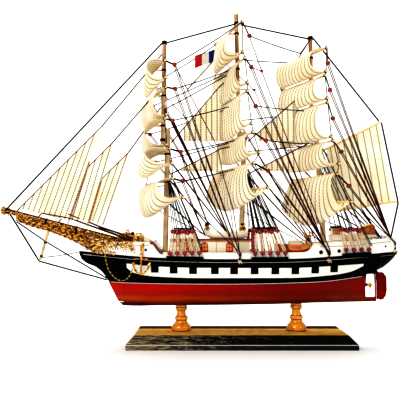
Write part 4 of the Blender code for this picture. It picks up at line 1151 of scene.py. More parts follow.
def buildBraces():
    beads, braces, thin, ties, tassels = [], [], [], [], []
    for side in (-1, 1):
        bundles = {mast: sided(place, side) for mast, place in rigging["bundles"].items()}
        for mast, rows in sails.items():
            bundle = bundles[mast]
            ends = rigging["foreEnds"] if mast == "fore" else [bundle] * len(rows)
            for number in range(1, len(rows) + 1):
                end = yardPoint(mast, number, side * rigging["braceAt"])
                bead = beadPlace(mast, number, side)
                beads.append(at(*bead))
                thin += [slack(end + upZ * w, bead + upZ * w, 0.3, 4) for w in (-0.5, 0.5)]
                if (mast, number) == ("fore", 1):
                    rope = [sided(point, side) for point in rigging["foreRope"]]
                    braces.append(slack(bead, rope[0], 0.8) + rope[1:])
                # the doubled brace; the main royal's goes by way of the mizzen top instead
                for strand in (-0.5, 0.5) if (mast, number) != ("main", 1) else ():
                    spread = vec((number * 2 + strand - 6) * rigging["gap"] * 0.5, 0, 0.3 * number)
                    start = bead + vec(strand * 2.2, 0, 0)
                    braces.append(slack(start, sided(ends[number - 1], side) + spread, 1.2))
                goal = rigging["mastBraces"].get(mast, {}).get(number)
                if goal:
                    x, radius = mastLine(*goal)
                    thin.append(slack(bead, (x - radius * 0.4, side * radius * 0.9, goal[1]), 1))
                foot = yardPoint(mast, number, side * rigging["leechAt"], True)
                braces.append(slack(yardPoint(mast, number, side * rigging["leechAt"]), foot, 0, 3))
                if number < len(rows):
                    below = yardPoint(mast, number + 1, side * rigging["braceAt"])
                    braces.append(slack(foot, below, 0, 3))
                for low in (False, True):
                    stick = yardPoint(mast, number, side * rigging["lashAt"], low)
                    ties.append(lashing(stick, rigging["lashRadius"]))
            course = yardPoint(mast, len(rows), side * rigging["braceAt"], True)
            braces.append(slack(course, bundle + vec(2, 0, 3), 0.8))
        # the long threads between the masts and the beads that join them
        link, pendant, foreLink = (sided(rigging[name], side) for name in ("link", "pendant", "foreLink"))
        thin.append(slack(beadPlace("fore", 1, side), yardPoint("main", 1, side * 0.98), 1.5))
        x, radius = mastLine("mizzen", rigging["pendantZ"])
        thin.append(slack(beadPlace("main", 1, side), pendant, 1))
        thin.append(slack(pendant, (x, side * radius, rigging["pendantZ"]), 0.5))
        for number in (1, 2):
            braces.append(slack(beadPlace("main", number, side), link, 0.5))
        braces.append(slack(link, bundles["main"] + vec(1.5, 0, 5), 1.6))
        if side < 0:
            x, radius = mastLine("main", rigging["foreLinkZ"])
            thin.append(slack(foreLink, (x, -radius, rigging["foreLinkZ"]), 0.8))
            thin.append(slack(foreLink, yardPoint("fore", 2, -0.9, True), 0.3, 4))
            braces.append(slack(foreLink, bundles["fore"] + vec(-2, 0, 3), 1))
            beads.append(at(*foreLink, scale=rigging["linkBead"]))
        beads += [at(*link, scale=rigging["linkBead"]), at(*pendant, scale=rigging["pendantBead"])]
        for knot in bundles.values():
            braces.append(lashing(knot + vec(0, 0, 1.5), 1.3, 4, 2.4))
            for k in range(rigging["tassels"]):
                odd = k % 2
                tip = knot + vec(-2.4 + 1.5 * k, side * (1.5 + 0.5 * odd), -7 - 2 * odd)
                frayed = knot.lerp(tip, 0.6)
                braces.append(slack(knot, frayed, 0, 3))
                tassels.append(slack(frayed, tip, 0, 3))
    threads("braceEnds", tassels, rigging["tassel"], creamThread)
    stringBeads("braceBeads", rigging["bead"] * 1.08, beads)
    threads("braces", braces, rigging["brace"], brownThread)
    threads("yardPendants", thin, rigging["thread"], blackThread)
    threads("yardLashings", ties, rigging["lashing"], blackThread)
    print("braces rove")


def buildShrouds():
    beads, oxblood, dark, thin, cream, battens = [], [], [], [], [], []
    work = shroudWork
    for mast, row in shroudRows.items():
        lowX, count, lowGap, lowHalf, lowZ, highX, highGap, highHalf, highZ, headZ, high = row
        x0, radius = mastLine(mast, headZ)
        # the main mast's shrouds are doubled: shift along x and rise of each strand's head
        strands = ((-0.8, 3), (0.9, 9)) if mast == "main" else ((0, 3),)
        for side in (-1, 1):
            lows = [vec(lowX + lowGap * i, side * lowHalf, lowZ + 0.15 * i) for i in range(count)]
            ups = [vec(highX + highGap * i, side * highHalf, highZ - 1.6 * (i % 2)) for i in range(high)]
            for i, low in enumerate(lows):
                beads.append(at(*low))
                dark.append([low, low + vec(0, side * 0.4, -work["tail"])])
                up = ups[min(i, high - 1)]
                for k in work["lanyards"]:
                    cream.append(slack(low + vec(k, 0, 0), up + vec(k, 0, 0), 0, 5))
                for k in work["falls"]:
                    inboard = -side * work["fallIn"]
                    ends = low + vec(k, inboard, 0), up + vec(k + 0.4, inboard, 0)
                    thin.append(slack(*ends, 0, 5))
            # darker beads between the upper beads, a little inboard of them
            for i, (a, b) in enumerate(zip(ups, ups[1:])):
                oxblood.append(at(*((a + b) / 2 + vec(0, -side * 1.5, 1.9 if i % 2 else 0.4))))
            for i, up in enumerate(ups):
                beads.append(at(*up))
                for k, rise in strands:
                    goal = vec(x0 + work["headAft"] + i * work["headStep"], side * radius * work["headOut"],
                               headZ - i * work["headDown"] + rise)
                    dark.append(slack(up + vec(k, 0, 0), goal, 0))
            # the aftmost shroud's fall, a doubled thread down to the rail
            for k in range(2):
                goal = vec(x0 + 2.5, side * radius * 0.6, headZ + 14)
                dark.append(slack(lows[-1] + vec(2.2 + 1.8 * k, 0, 4), goal, 0))
            if mast != "mizzen":
                ends = ups[0] + vec(1.5, 0, 3.4), ups[-1] + vec(-1.5, 0, 3.4)
                battens.append(rod(*ends, rigging["batten"], None, 8))
    stringBeads("shroudBeads", rigging["bead"] * 1.05, beads)
    stringBeads("shroudBeadsDark", rigging["bead"] * 1.05, oxblood, beadOxblood, "roof_brown")
    threads("shrouds", dark, rigging["shroud"], shroudThread)
    threads("lanyardFalls", thin, rigging["fall"], leechThread)
    threads("lanyards", cream, rigging["lanyard"], creamThread)
    fitOut(battens, "shroudBattens", flatBlackAndHoleShade, "black_paint")
    # the red beads strung one above another at the main shrouds
    x, half, top = work["strung"]
    strung = [at(x, side * half + side * 5 * i / 6, top - work["strungStep"] * i)
              for side in (-1, 1) for i in range(1, work["count"] + 1)]
    stringBeads("strungBeads", rigging["bead"] * 0.92, strung)
    print("shrouds set up")


buildBraces()
buildShrouds()


# Board: black gloss over pine, the grain and worn streaks showing through
boardBlack = grainedFinish("blackStainedBoard", "0B0A08", "020202", (30, 500, 900), 0.24, 0.2, 0.12)


def rubBoard():
    # dry pale streaks where the black was rubbed thin, most of them towards the bow
    tree, shader, black = laidOver(tuned(boardBlack, Specular_IOR_Level=0.25))
    place = placeOn(tree)
    streaks = noisy(tree, scaled(tree, place, (70, 1500, 2600)), 1, 4, Roughness=0.7)
    rubbed = maths(tree, "SUBTRACT", streaks, maths(tree, "MULTIPLY", axisOf(tree, place, "X"), 0.9))
    painted(tree, shader, mixed(tree, ranged(tree, rubbed, 0.6, 0.67), black, paint("C4B088")))


def stripedFinish(name, stripes, edges):
    # flag cloth in sewn stripes, their edges in millimetres along the map
    material, tree, shader = newFinish(name, Roughness=0.85, Sheen_Weight=0.1)
    place = placeOn(tree, "UV")
    along = axisOf(tree, scaled(tree, place, (1000, 1000, 1)), "X")
    cloth = paint(stripes[0])
    for edge, code in zip(edges, stripes[1:]):
        cloth = mixed(tree, maths(tree, "GREATER_THAN", along, edge), cloth, paint(code))
    weave = noisy(tree, scaled(tree, place, (2600, 2600, 1)))
    shade = ramp(tree, weave, (0.3, "C8C8C8"), (0.7, "FFFFFF"))
    painted(tree, shader, mixed(tree, 1, cloth, shade, "MULTIPLY"))
    bumped(tree, shader, weave, 0.15)
    return material


rubBoard()
flagCloth = stripedFinish("stripedFlagCloth", ("0A1478", "F4EEE0", "C41220"), (10.1, 19.9))

# the board's two outlines, the posts' places, and their turning as radius and height above the board's top
stand = {
    "bottom": (277.1, 82.6), "top": (258.5, 64), "edge": 6.3, "thick": 16.2, "posts": (-73.6, 71.5),
    "turning": ((7.1, 31.6), (7.1, 29.3), (7.6, 28.4), (7.6, 26.6), (5.9, 24.8), (5.6, 22), (6.5, 18.3),
                (8.4, 16.9), (8.4, 14.3), (7, 13.2), (7.6, 10.8), (10.5, 7.8), (12.4, 4.3), (12.4, 1.8),
                (11.3, 0)),
    "grooves": ((28.9, 7.35), (26.2, 7.25), (17.9, 6.95), (13.3, 7.15), (1.2, 12.15)), "groove": 0.36,
    "topInset": 0.6, "topRise": 0.25, "topSink": 0.6, "rear": 20, "edgeHighlightY": 30, "edgeHighlightRadius": 0.3,
}
# gunports by x, the pads under the channels from x to x, and round holes as x, z and radius; the round holes
# are black discs of painted shade, not cut
ports = {
    "places": (-105, -82, -58.5, -32, -8.6, 16.3, 41.4, 65.8, 90.2, 113.8),
    "wide": 9.2, "high": 7.7, "proud": 0.95, "channels": ((-90.5, -46), (12, 56.5), (123, 158)),
    "holes": ((-133, 119.2, 1.7), (-116, 118.4, 1.6), (97, 115.6, 2.5), (119.3, 117.1, 2.2),
              (179, 122.4, 1.3)),
    "proudPads": 4.6, "padZ": (-1.2, 2.7), "forefootMark": (-149, 52.6, 6, 1.2, 0.25),
}
# painted lines as start and end in x, then how far below the deck or the bulwark's top or above the keel; the
# white line below the deck is a painted highlight along the wale's lower edge
paintLines = {"deck": (-198, 196, 3.9), "waterline": (-163, 152), "keel": (-140, 156, 2.4),
              "rail": ((-168, -112, 3.2), (96, 186, 4)), "white": 0.32, "dark": 0.28}
# corners, stick and hoist as x and z
flag = {
    "corners": ((-28.2, 391.6), (-28.2, 375), (-57, 364.4), (-57, 381.6)), "y": 43, "thick": 0.8,
    "stick": ((-67.8, 334.3), (-28.4, 377.6)), "stickRadius": 1.1, "hoist": ((-28.6, 374), (-28.6, 395.2)),
    "hoistRadius": 0.7, "wave": 1.1, "size": (30, 17), "grid": (30, 16),
    "line": ((-67.8, 334.3), (-30.5, 376.8)), "lineRadius": 0.45, "lineOut": 1.2,
}


def buildBoard():
    (longX, longY), thick = stand["bottom"], stand["thick"]
    board = block((-longX / 2, -longY / 2, 0), (longX / 2, longY / 2, thick), 0.01)
    bm = bmesh.new()
    bm.from_mesh(board.data)
    sides = [edge for edge in bm.edges if abs(edge.verts[0].co.z - edge.verts[1].co.z) > 2 * mm]
    bmesh.ops.subdivide_edges(bm, edges=sides, cuts=1)
    for vertex in bm.verts:
        if 1 * mm < vertex.co.z < (thick - 1) * mm:
            vertex.co.z = stand["edge"] * mm
        elif vertex.co.z >= (thick - 1) * mm:
            for axis in (0, 1):
                vertex.co[axis] *= stand["top"][axis] / stand["bottom"][axis]
    bm.to_mesh(board.data)
    bm.free()
    settle(board, eased(0.5, 0.3))
    fitOut(board, "standBoard", boardBlack, "board_black", replaces=["stand_board"])
    # the face of the top, with its dull strip of painted shade along the rear
    halfX, halfY = (stand["top"][axis] / 2 - stand["topInset"] for axis in (0, 1))
    low, high, strip = thick - stand["topSink"], thick + stand["topRise"], halfY - stand["rear"]
    fitOut(block((-halfX, -halfY, low), (halfX, strip, high), 0.2), "standTopFace", boardTopPine, "deck_wood")
    fitOut(block((-halfX, strip, low), (halfX, halfY, high), 0.2), "standRearFace", rearShadeStrip, "board_black")
    # a painted highlight: a pale line along the front part of the board's edge, where the side meets the
    # chamfer
    corners = [(x * longX / 2, y) for x, y in (
        (-1, stand["edgeHighlightY"]), (-1, -longY / 2), (1, -longY / 2), (1, stand["edgeHighlightY"]))]
    edge = [vec(x, y, stand["edge"] - 0.1) for x, y in corners]
    threads("boardEdgeHighlight", [edge], stand["edgeHighlightRadius"], whiteEnamel, "white_paint", 6)


def buildPosts():
    smoothLine = curveThrough([(-z, r) for r, z in stand["turning"]])
    tall = stand["turning"][0][1]
    base = stand["thick"] + stand["topRise"]
    for x, word in zip(stand["posts"], ("fore", "aft")):
        # each post is stretched to reach the keel above it
        grow = (keelAt(x) - stand["thick"] - 0.1) / tall
        heights = [-tall * (1 - i / 60) for i in range(61)]
        profile = [(0, tall * grow)] + [(smoothLine(z), -z * grow) for z in heights] + [(0, 0)]
        post = turnedPiece(profile, 40)
        post.location = (x * mm, 0, base * mm)
        settle(post)
        fitOut(post, f"standPost_{word}", amberTurned, "post_varnish",
               replaces=[f"stand_post_{word}"], smooth=50)
        # dark rings of painted shade in the grooves, at the steps and at the foot of each post
        rings = [[vec(x + radius * cos(tau * i / 32), radius * sin(tau * i / 32),
                      base + height * grow) for i in range(33)] for height, radius in stand["grooves"]]
        threads(f"postGrooves_{word}", rings, stand["groove"], grooveShade, "roof_brown", 6, smooth=50)
    print("stand turned")


def sidePatch(x, z, wide, high, proud, side, rows=3):
    # a small plate that follows the hull's side
    xs = [x + wide * (i / 4 - 0.5) for i in range(5)]
    return sideStrip(xs, lambda v: z - high / 2, lambda v: z + high / 2, proud, side, rows)


def buildHullMarks():
    holes, lines, darkLines, pads = [], [], [], []
    highlightStart, highlightEnd, down = paintLines["deck"]
    keelStart, keelEnd, up = paintLines["keel"]
    low, high = ports["padZ"]
    for side in (-1, 1):
        for x in ports["places"]:
            z = bandHighAt(x) + 0.2 - ports["high"] / 2
            holes.append(sidePatch(x, z, ports["wide"], ports["high"], ports["proud"], side))
        # painted shade: each round hole is a black disc set into the side, not a cut
        for x, z, radius in ports["holes"]:
            y = halfAt(x)
            holes.append(rod((x, side * (y - 2), z), (x, side * (y + 0.25), z), radius, None, 16, 0.1))
        # a painted highlight: a white line just under the wale from bow to stern
        lines.append([(x, side * (hullHalf(x, deckAt(x) - down) + 0.35), deckAt(x) - down)
                      for x in hullXs(highlightStart, highlightEnd)])
        lines.append([(x, side * (hullHalf(x, waterlineAt(x)) + 0.1), waterlineAt(x) + 0.2)
                      for x in hullXs(*paintLines["waterline"])])
        darkLines.append([(x, side * (hull["keelHalf"] + 0.1), keelAt(x) + up)
                          for x in hullXs(keelStart, keelEnd)])
        darkLines += [[(x, side * (halfAt(x) + 0.15), bulwarkTop(x) - under) for x in hullXs(start, end)]
                      for start, end, under in paintLines["rail"]]
        pads += [sideStrip(hullXs(*ends), lambda x: deckAt(x) + low, lambda x: deckAt(x) + high,
                           ports["proudPads"], side, 2) for ends in ports["channels"]]
    fitOut(pads, "channelPads", blackLacquer, "black_paint")
    fitOut(holes, "gunports", flatBlackAndHoleShade, "black_paint")
    threads("whiteLinesAndHighlight", lines, paintLines["white"], whiteEnamel, "white_paint", 5)
    threads("darkHullLines", darkLines, paintLines["dark"], roofStain, "roof_brown", 5)
    marks = [sidePatch(*ports["forefootMark"], side, 1) for side in (-1, 1)]
    fitOut(marks, "forefootMarks", whiteEnamel, "white_paint")
    print("gunports and lines painted")


def buildFlag():
    y = flag["y"]
    tack, low, flyLow, fly = (Vector((x, y, z)) for x, z in flag["corners"])
    wide, tall = flag["size"]

    def place(a, b):
        point = (tack * (1 - a) + fly * a) * (1 - b) + (low * (1 - a) + flyLow * a) * b
        return point + vec(0, flag["wave"] * sin(a * 5.2 + b * 0.9) * min(a * 3, 1), 0)

    cloth = clothPiece("flag_cloth_piece", place, lambda a, b: (a * wide, b * tall), *flag["grid"], flagCloth,
                       ["flag"], ["flag_sticks"], held="hung", thick=flag["thick"])
    (x0, z0), (x1, z1) = flag["stick"]
    fitOut(rod((x0, y, z0), (x1, y, z1), flag["stickRadius"]), "flag_sticks", birchDowel, "pale_wood")
    (x0, z0), (x1, z1) = flag["hoist"]
    hoist = rod((x0, y, z0), (x1, y, z1), flag["hoistRadius"], None, 8)
    start, end = (vec(x, y - flag["lineOut"], z) for x, z in flag["line"])
    line = tubes([slack(start, end)], flag["lineRadius"])
    fitOut(joined([hoist, line]), "flagHoist", blackThread, "black_thread")
    print("flag hung")


buildBoard()
buildPosts()
buildHullMarks()
buildFlag()


# Dark varnished spar under the gold net
sparDark = grainedFinish("darkVarnishedSpar", "5A3212", "241006", (40, 700, 700), 0.35, 0.5)

# spars as x and z at each end with both radii; the net's stations as x, top, low and half-width
bow = {
    "sprit": ((-138, 124.9), (-300, 168), 3.6, 2.4),
    "striker": ((-243.2, 140.4), (-253, 104.8), 2, 1.7),
    "net": ((-284, 160.7, 154.6, 1.6), (-262, 154.8, 146.4, 3), (-238.6, 148.4, 139.8, 4),
            (-204, 139, 125, 6.6), (-188, 134.6, 115.5, 4.6), (-180, 132.4, 114.9, 5)),
    "cord": 0.75, "pitch": 14, "strikerTies": (109.5, 126.5), "tieRadius": 1.75,
    "handLines": (((-251, 5, 164), (-217, 5, 158), (-130, 12, 126.8)),
                  ((-217, 5, 163), (-176.5, 6, 146.5), (-133, 12, 132))),
    "bobstay": ((-283.3, 1.5, 153), (-246.2, 1.6, 128), (-168, 2.2, 81.5)),
    "martingale": ((-253.2, 0, 107.4), (-230, 0.8, 110), (-202.6, 1.4, 115)),
    "snakeFoot": (-181, 7.5, 145), "sprig": ((-166, 12, 122), (-186, 5, 130)),
    "latticeX": -184, "latticeGap": 3.1,
}
anchor = {"x": -121.4, "y": 31.2, "top": 126, "stockZ": 107.2, "foot": 88.6, "spread": 8.8, "stock": 8}
chain = {"path": ((-168.5, 13, 112.6), (-166.5, 14.2, 103), (-162.5, 16, 92.5), (-155, 18.2, 84),
                  (-147.3, 20.8, 80.8), (-139.5, 23.6, 83), (-133.5, 27, 91.5), (-130.4, 29.5, 103)),
         "link": 0.9, "wire": 0.3, "step": 2.05, "out": 0.9}


def spritPoint(share):
    (x0, z0), (x1, z1) = bow["sprit"][:2]
    return vec(x0 + (x1 - x0) * share, 0, z0 + (z1 - z0) * share)


def spritWinding(turns, start, end, phase, handed, proud):
    # a cord wound round the bowsprit from share start to share end
    steps = int(abs(turns) * 14)
    axis = (spritPoint(1) - spritPoint(0)).normalized()
    side = vec(0, 1, 0)
    up = axis.cross(side)
    path = []
    for i in range(steps + 1):
        share = start + (end - start) * i / steps
        radius = bow["sprit"][2] + (bow["sprit"][3] - bow["sprit"][2]) * share + proud
        angle = phase + handed * tau * turns * i / steps
        path.append(spritPoint(share) + (side * cos(angle) + up * sin(angle)) * radius)
    return path


def netSection(x):
    return [curveThrough([(row[0], row[k]) for row in bow["net"]])(x) for k in (1, 2, 3)]


def ringPattern(major, minor, majorSteps=12, minorSteps=5):
    dropSelection()
    bpy.ops.mesh.primitive_torus_add(major_segments=majorSteps, minor_segments=minorSteps,
                                     major_radius=major * mm, minor_radius=minor * mm)
    return bpy.context.object


def scrollPath(centre, size, along=alongX, up=upZ, turns=1.6, steps=18):
    # a spiral scroll that starts wide and winds in
    return [centre + (along * cos(tau * turns * i / steps)
                      + up * sin(tau * turns * i / steps)) * size * (1 - 0.78 * i / steps)
            for i in range(steps + 1)]


def buildNet(cords):
    # the dark body inside the net, then the crossed cords and the scrolls down its sides
    first, last = bow["net"][0][0], bow["net"][-1][0]

    def corePoint(a, b):
        x = first + (last - first) * a
        top, low, half = netSection(x)
        return (x, half * 0.8 * cos(tau * b),
                (top + low) / 2 + (top - low) * 0.42 * sin(tau * b))

    core = laidGrid(40, 16, corePoint)
    tidyNormals(core)
    opened(core)
    bpy.ops.mesh.fill_holes(sides=0)
    turnTo("OBJECT")
    fitOut(core, "bowNetBody", sparDark, "brass", smooth=50)
    for phase in range(4):
        for handed in (-1, 1):
            path = []
            for i in range(61):
                x = first + (last - first) * i / 60
                top, low, half = netSection(x)
                angle = phase * tau / 4 + handed * tau * i / 60 * (last - first) / bow["pitch"] / 2
                path.append(vec(x, half * 0.95 * cos(angle),
                                (top + low) / 2 + (top - low) * 0.5 * sin(angle)))
            cords.append(path)
    for side in (-1, 1):
        for i in range(13):
            x = first + 6 + (last - first - 8) * i / 12
            top, low, half = netSection(x)
            centre = vec(x, side * (half * 0.9 + 0.5), (top + low) / 2 + (1.2 if i % 2 else -1.2))
            lean = vec(1, 0, -0.27), vec(0.27, 0, 1) * side
            cords.append(scrollPath(centre, (top - low) * 0.26, *lean))
    fitOut(tubes(cords, bow["cord"], 5), "bowNetCords", netGilt, "brass", replaces=["bow_net"])


def buildBowsprit():
    (x0, z0), (x1, z1), first, second = bow["sprit"]
    spar = rod((x0, 0, z0), (x1, 0, z1), first, second, 20)
    fitOut(spar, "bowspritSpar", sparDark, "pale_wood", replaces=["bowsprit"], smooth=50)
    (x0, z0), (x1, z1), first, second = bow["striker"]
    striker = rod((x0, 0, z0), (x1, 0, z1), first, second, 14)
    fitOut(striker, "dolphinStriker", mastDowel, "pale_wood", replaces=["dolphin_striker"])
    rails = [[spritPoint(i / 20) + vec(0, side * 2, 3.4 - 1.2 * i / 20) for i in range(1, 20)]
             for side in (-1, 1)]
    threads("spritRails", rails, 0.95, brownThread, sides=6)
    cords = [spritWinding(12, 0.06, 0.975, phase * tau / 4, handed, 0.35)
             for phase in range(3) for handed in (-1, 1)]
    ties = [spritWinding(5, 0.955, 0.985, 0, 1, 0.9)]
    ties += [spritWinding(3, place, place + 0.012, 0, 1, 0.9) for place in (0.66, 0.42)]
    for z in bow["strikerTies"]:
        x = x0 + (x1 - x0) * (z0 - z) / (z0 - z1)
        ties.append([(x + bow["tieRadius"] * cos(tau * i / 8),
                      bow["tieRadius"] * sin(tau * i / 8), z + i * 0.1 - 1.2) for i in range(25)])
    buildNet(cords)
    threads("bowspritLashings", ties, 0.5, blackThread)
    # the gilt knot at the tip: rings of scrolls, each with its count and how far it leans ahead
    tip = spritPoint(0.985)
    petals = []
    for ring, count, lean in ((0, 9, 0.35), (1, 8, 0.9), (2, 6, 2.2)):
        for i in range(count):
            angle = tau * (i + ring / 2) / count
            out = vec(-lean, cos(angle), sin(angle)).normalized()
            petals.append(scrollPath(tip + out * 3.9, 2.1, out, vec(-1, 0.2, 0.3), 1.3))
    for i in range(5):
        angle = tau * (i + 0.5) / 5
        out = vec(0.1, cos(angle), sin(angle))
        petals.append(scrollPath(tip + vec(2.6, 0, -0.8) + out * 3.6, 1.9, out, vec(1, 0, -0.2), 1.2))
    threads("tipScrolls", petals, 0.6, scrollGilt, "brass", 6)
    print("bowsprit and net made")


def bowLattice(side, gold, rings):
    # rows of rings and scrolls on the bow's wall, in turn
    for i in range(17):
        x = bow["latticeX"] + bow["latticeGap"] * i
        for row in range(4):
            z = bulwarkTop(x) - 1.2 - bow["latticeGap"] * row + (0.8 if i % 2 else 0)
            if z > deckAt(x) + 0.5:
                place = vec(x + 1.5 * row, side * (halfAt(x) + 0.7), z)
                if (i + row) % 2:
                    rings.append(at(*place, quarterX))
                else:
                    gold.append(scrollPath(place, 2.4, alongX, upZ * (1 if i % 3 else -1), 1.4, 14))
    for i in range(6):
        x = bow["latticeX"] + 5.6 * i
        z = deckAt(x) + 1
        gold.append(scrollPath(vec(x, side * (hullHalf(x, z - 1.5) + 1), z), 2.6, turns=1.5))
    # the open work between the rail and the bowsprit
    (heelX, heelZ), _ = bow["sprit"][:2]
    for i in range(11):
        x = bow["latticeX"] - 2 + 3.3 * i
        for row in range(5):
            z = bulwarkTop(x) + 1 + 3 * row
            if z < heelZ + (heelX - x) * 0.266 - 3.6:
                centre = vec(x, side * (7.5 + 1.2 * (row % 2)), z)
                gold.append(scrollPath(centre, 2.4, alongX, upZ * (1 if (i + row) % 2 else -1), 1.5, 14))
    # the sprig that climbs from the rail to the bowsprit
    base, tip = (sided(point, side) for point in bow["sprig"])
    for i in range(5):
        gold.append(scrollPath(base.lerp(tip, i / 4), 3 - 0.3 * i, vec(-1, 0, 0.3),
                               vec(0.2, 0, 1) * (1 if i % 2 else -1)))


def buildBowDetails():
    gold, places, hands, bobstays, snakes = [], [], [], [], []
    for side in (-1, 1):
        bowLattice(side, gold, places)
        lower, upper = ([sided(point, side) for point in line] for line in bow["handLines"])
        hands += [lower, upper]
        # the zigzag laced between the two hand lines
        foot = sided(bow["snakeFoot"], side)
        snakes.append([upper[1].lerp(upper[2], i / 36) if i % 2 else foot.lerp(lower[2], i / 36)
                       for i in range(37)])
        snakes.append([sided(point, side) for point in bow["martingale"]])
        bobstays.append([sided(point, side) for point in bow["bobstay"]])
    rings = ringPattern(1.7, 0.6)
    fitOut(copies(rings, places), "railLattice", scrollGilt, "brass", smooth=50)
    drop(rings)
    threads("railScrolls", gold, 0.55, scrollGilt, "brass", 5)
    threads("bowHandLines", hands, 0.75, brownThread)
    threads("bobstays", bobstays, 0.6, blackThread)
    threads("snaking", snakes, 0.55, brownThread)
    print("bow trimmed")


def curvedPath(points, steps):
    # a smooth path through the points
    path = []
    count = len(points) - 1
    for i in range(steps + 1):
        t = i / steps * count
        k = min(int(t), count - 1)
        f = t - k
        p0, p1, p2, p3 = (points[max(min(k + d, count), 0)] for d in (-1, 0, 1, 2))
        path.append(0.5 * (2 * p1 + (p2 - p0) * f + (2 * p0 - 5 * p1 + 4 * p2 - p3) * f * f
                           + (3 * p1 - p0 - 3 * p2 + p3) * f ** 3))
    return path


def castAnchor(side, ring):
    # shank, stock with its knobs, two curved arms with flukes, crown and ring
    x, stock, foot, reach = (anchor[key] for key in ("x", "stockZ", "foot", "stock"))
    y = side * anchor["y"]
    parts = [rod((x, y, stock + 3.2), (x, y, foot), 1, 1.3, 12),
             rod((x - reach, y, stock), (x + reach, y, stock), 0.95, 0.95, 10)]
    for way in (-1, 1):
        arc = []
        for i in range(13):
            t = i / 12
            arc.append(vec(x + way * anchor["spread"] * sin(t * pi / 2 * 1.05), y,
                           foot + 0.4 + 5 * t + 5.6 * (1 - cos(t * pi / 2 * 1.02))))
        parts.append(tubes([arc], 1.1, 8))
        parts.append(rod((x + way * reach, y, stock), (x + way * (reach + 0.6), y, stock), 1.25, 1.25, 10))
        fluke = turnedPiece([(0, 4.6), (0.9, 3.4), (2.4, 0.4), (2.3, -0.2), (0, -0.9)], 4)
        lean = Matrix.Rotation(radians(way * 38), 4, "Y")
        fluke.data.transform(at(*arc[-1]) @ lean @ Matrix.Diagonal((1, 0.35, 1, 1)))
        parts.append(fluke)
    crown = turnedPiece([(0, 3.2), (1.8, 1.6), (2, 0), (0, -1.9)], 10)
    crown.data.transform(at(x, y, foot + 0.9) @ Matrix.Diagonal((1, 0.6, 1, 1)))
    return joined(parts + [crown, copies(ring, [at(x, y, stock + 4.4, quarterX)])])


def chainPlaces(side):
    # a place for each link down the chain's loop, every second one turned on edge
    rail = curvedPath([sided(point, side) for point in chain["path"]], 60)
    places, distance = [], 0
    for start, end in zip(rail, rail[1:]):
        distance += (end - start).length
        if distance >= chain["step"]:
            distance = 0
            edgeOn = Matrix.Rotation(radians(90 * (len(places) % 2)), 3, "X")
            turn = (end - start).to_track_quat("X", "Z").to_matrix() @ edgeOn
            places.append(at(*(end + vec(0, side * chain["out"], 0)), turn))
    return places


def buildAnchors():
    x, top, stock = (anchor[key] for key in ("x", "top", "stockZ"))
    ring = ringPattern(1.9, 0.5, 16, 6)
    link = ringPattern(chain["link"], chain["wire"], 10, 5)
    for vertex in link.data.vertices:
        vertex.co.x *= 1.5
    for side, word in ((-1, "port"), (1, "starboard")):
        y = side * anchor["y"]
        fitOut(castAnchor(side, ring), f"anchor_{word}_cast", netGilt, "brass", replaces=[f"anchor_{word}"],
               smooth=45)
        # the gilt cord from the rail, then the chain in a long loop
        strands = [slack((x, y, stock + 6), (x, y, top - 1)),
                   slack((x + 1, y, stock + 6), (x + 2.4, y - side * 2, top + 1))]
        threads(f"anchorCord_{word}", strands, 1, netGilt, "brass", 6)
        places = chainPlaces(side)
        fitOut(copies(link, places[::2]), f"anchorChain_{word}", chainBrass, "brass", smooth=50)
        # every second link in the darker brass: painted shade
        fitOut(copies(link, places[1::2]), f"anchorChainShaded_{word}", chainShaded, "brass", smooth=50)
    drop(ring)
    drop(link)
    print("anchors hung")


# the forecastle's fittings: floor is the deck's height under them
forecastle = {
    "x": -128, "z": 130, "floor": 121.4, "discs": (-15, -9, 9, 15), "half": 14.5, "radius": 4,
    "whelps": 8, "whelpHalf": 8, "frameY": 11, "crestY": 5,
    "bollards": (-113.5, -108), "bollardY": 17, "breakFrom": -111, "breakLong": 16, "breakThick": 3.4,
    "bollard": ((0, 9), (1.6, 8.7), (1.9, 7.4), (1.3, 6.6), (1.3, 1.2), (1.9, 0.4), (1.9, 0), (0, 0)),
    "crestPosts": ((-143, 139.6, 1.2, 12), (-150, 129, 1, 10), (-136, 130, 1, 10)),
    "knob": (-135, -5.4, 138.4), "knobRadius": 2.2,
}


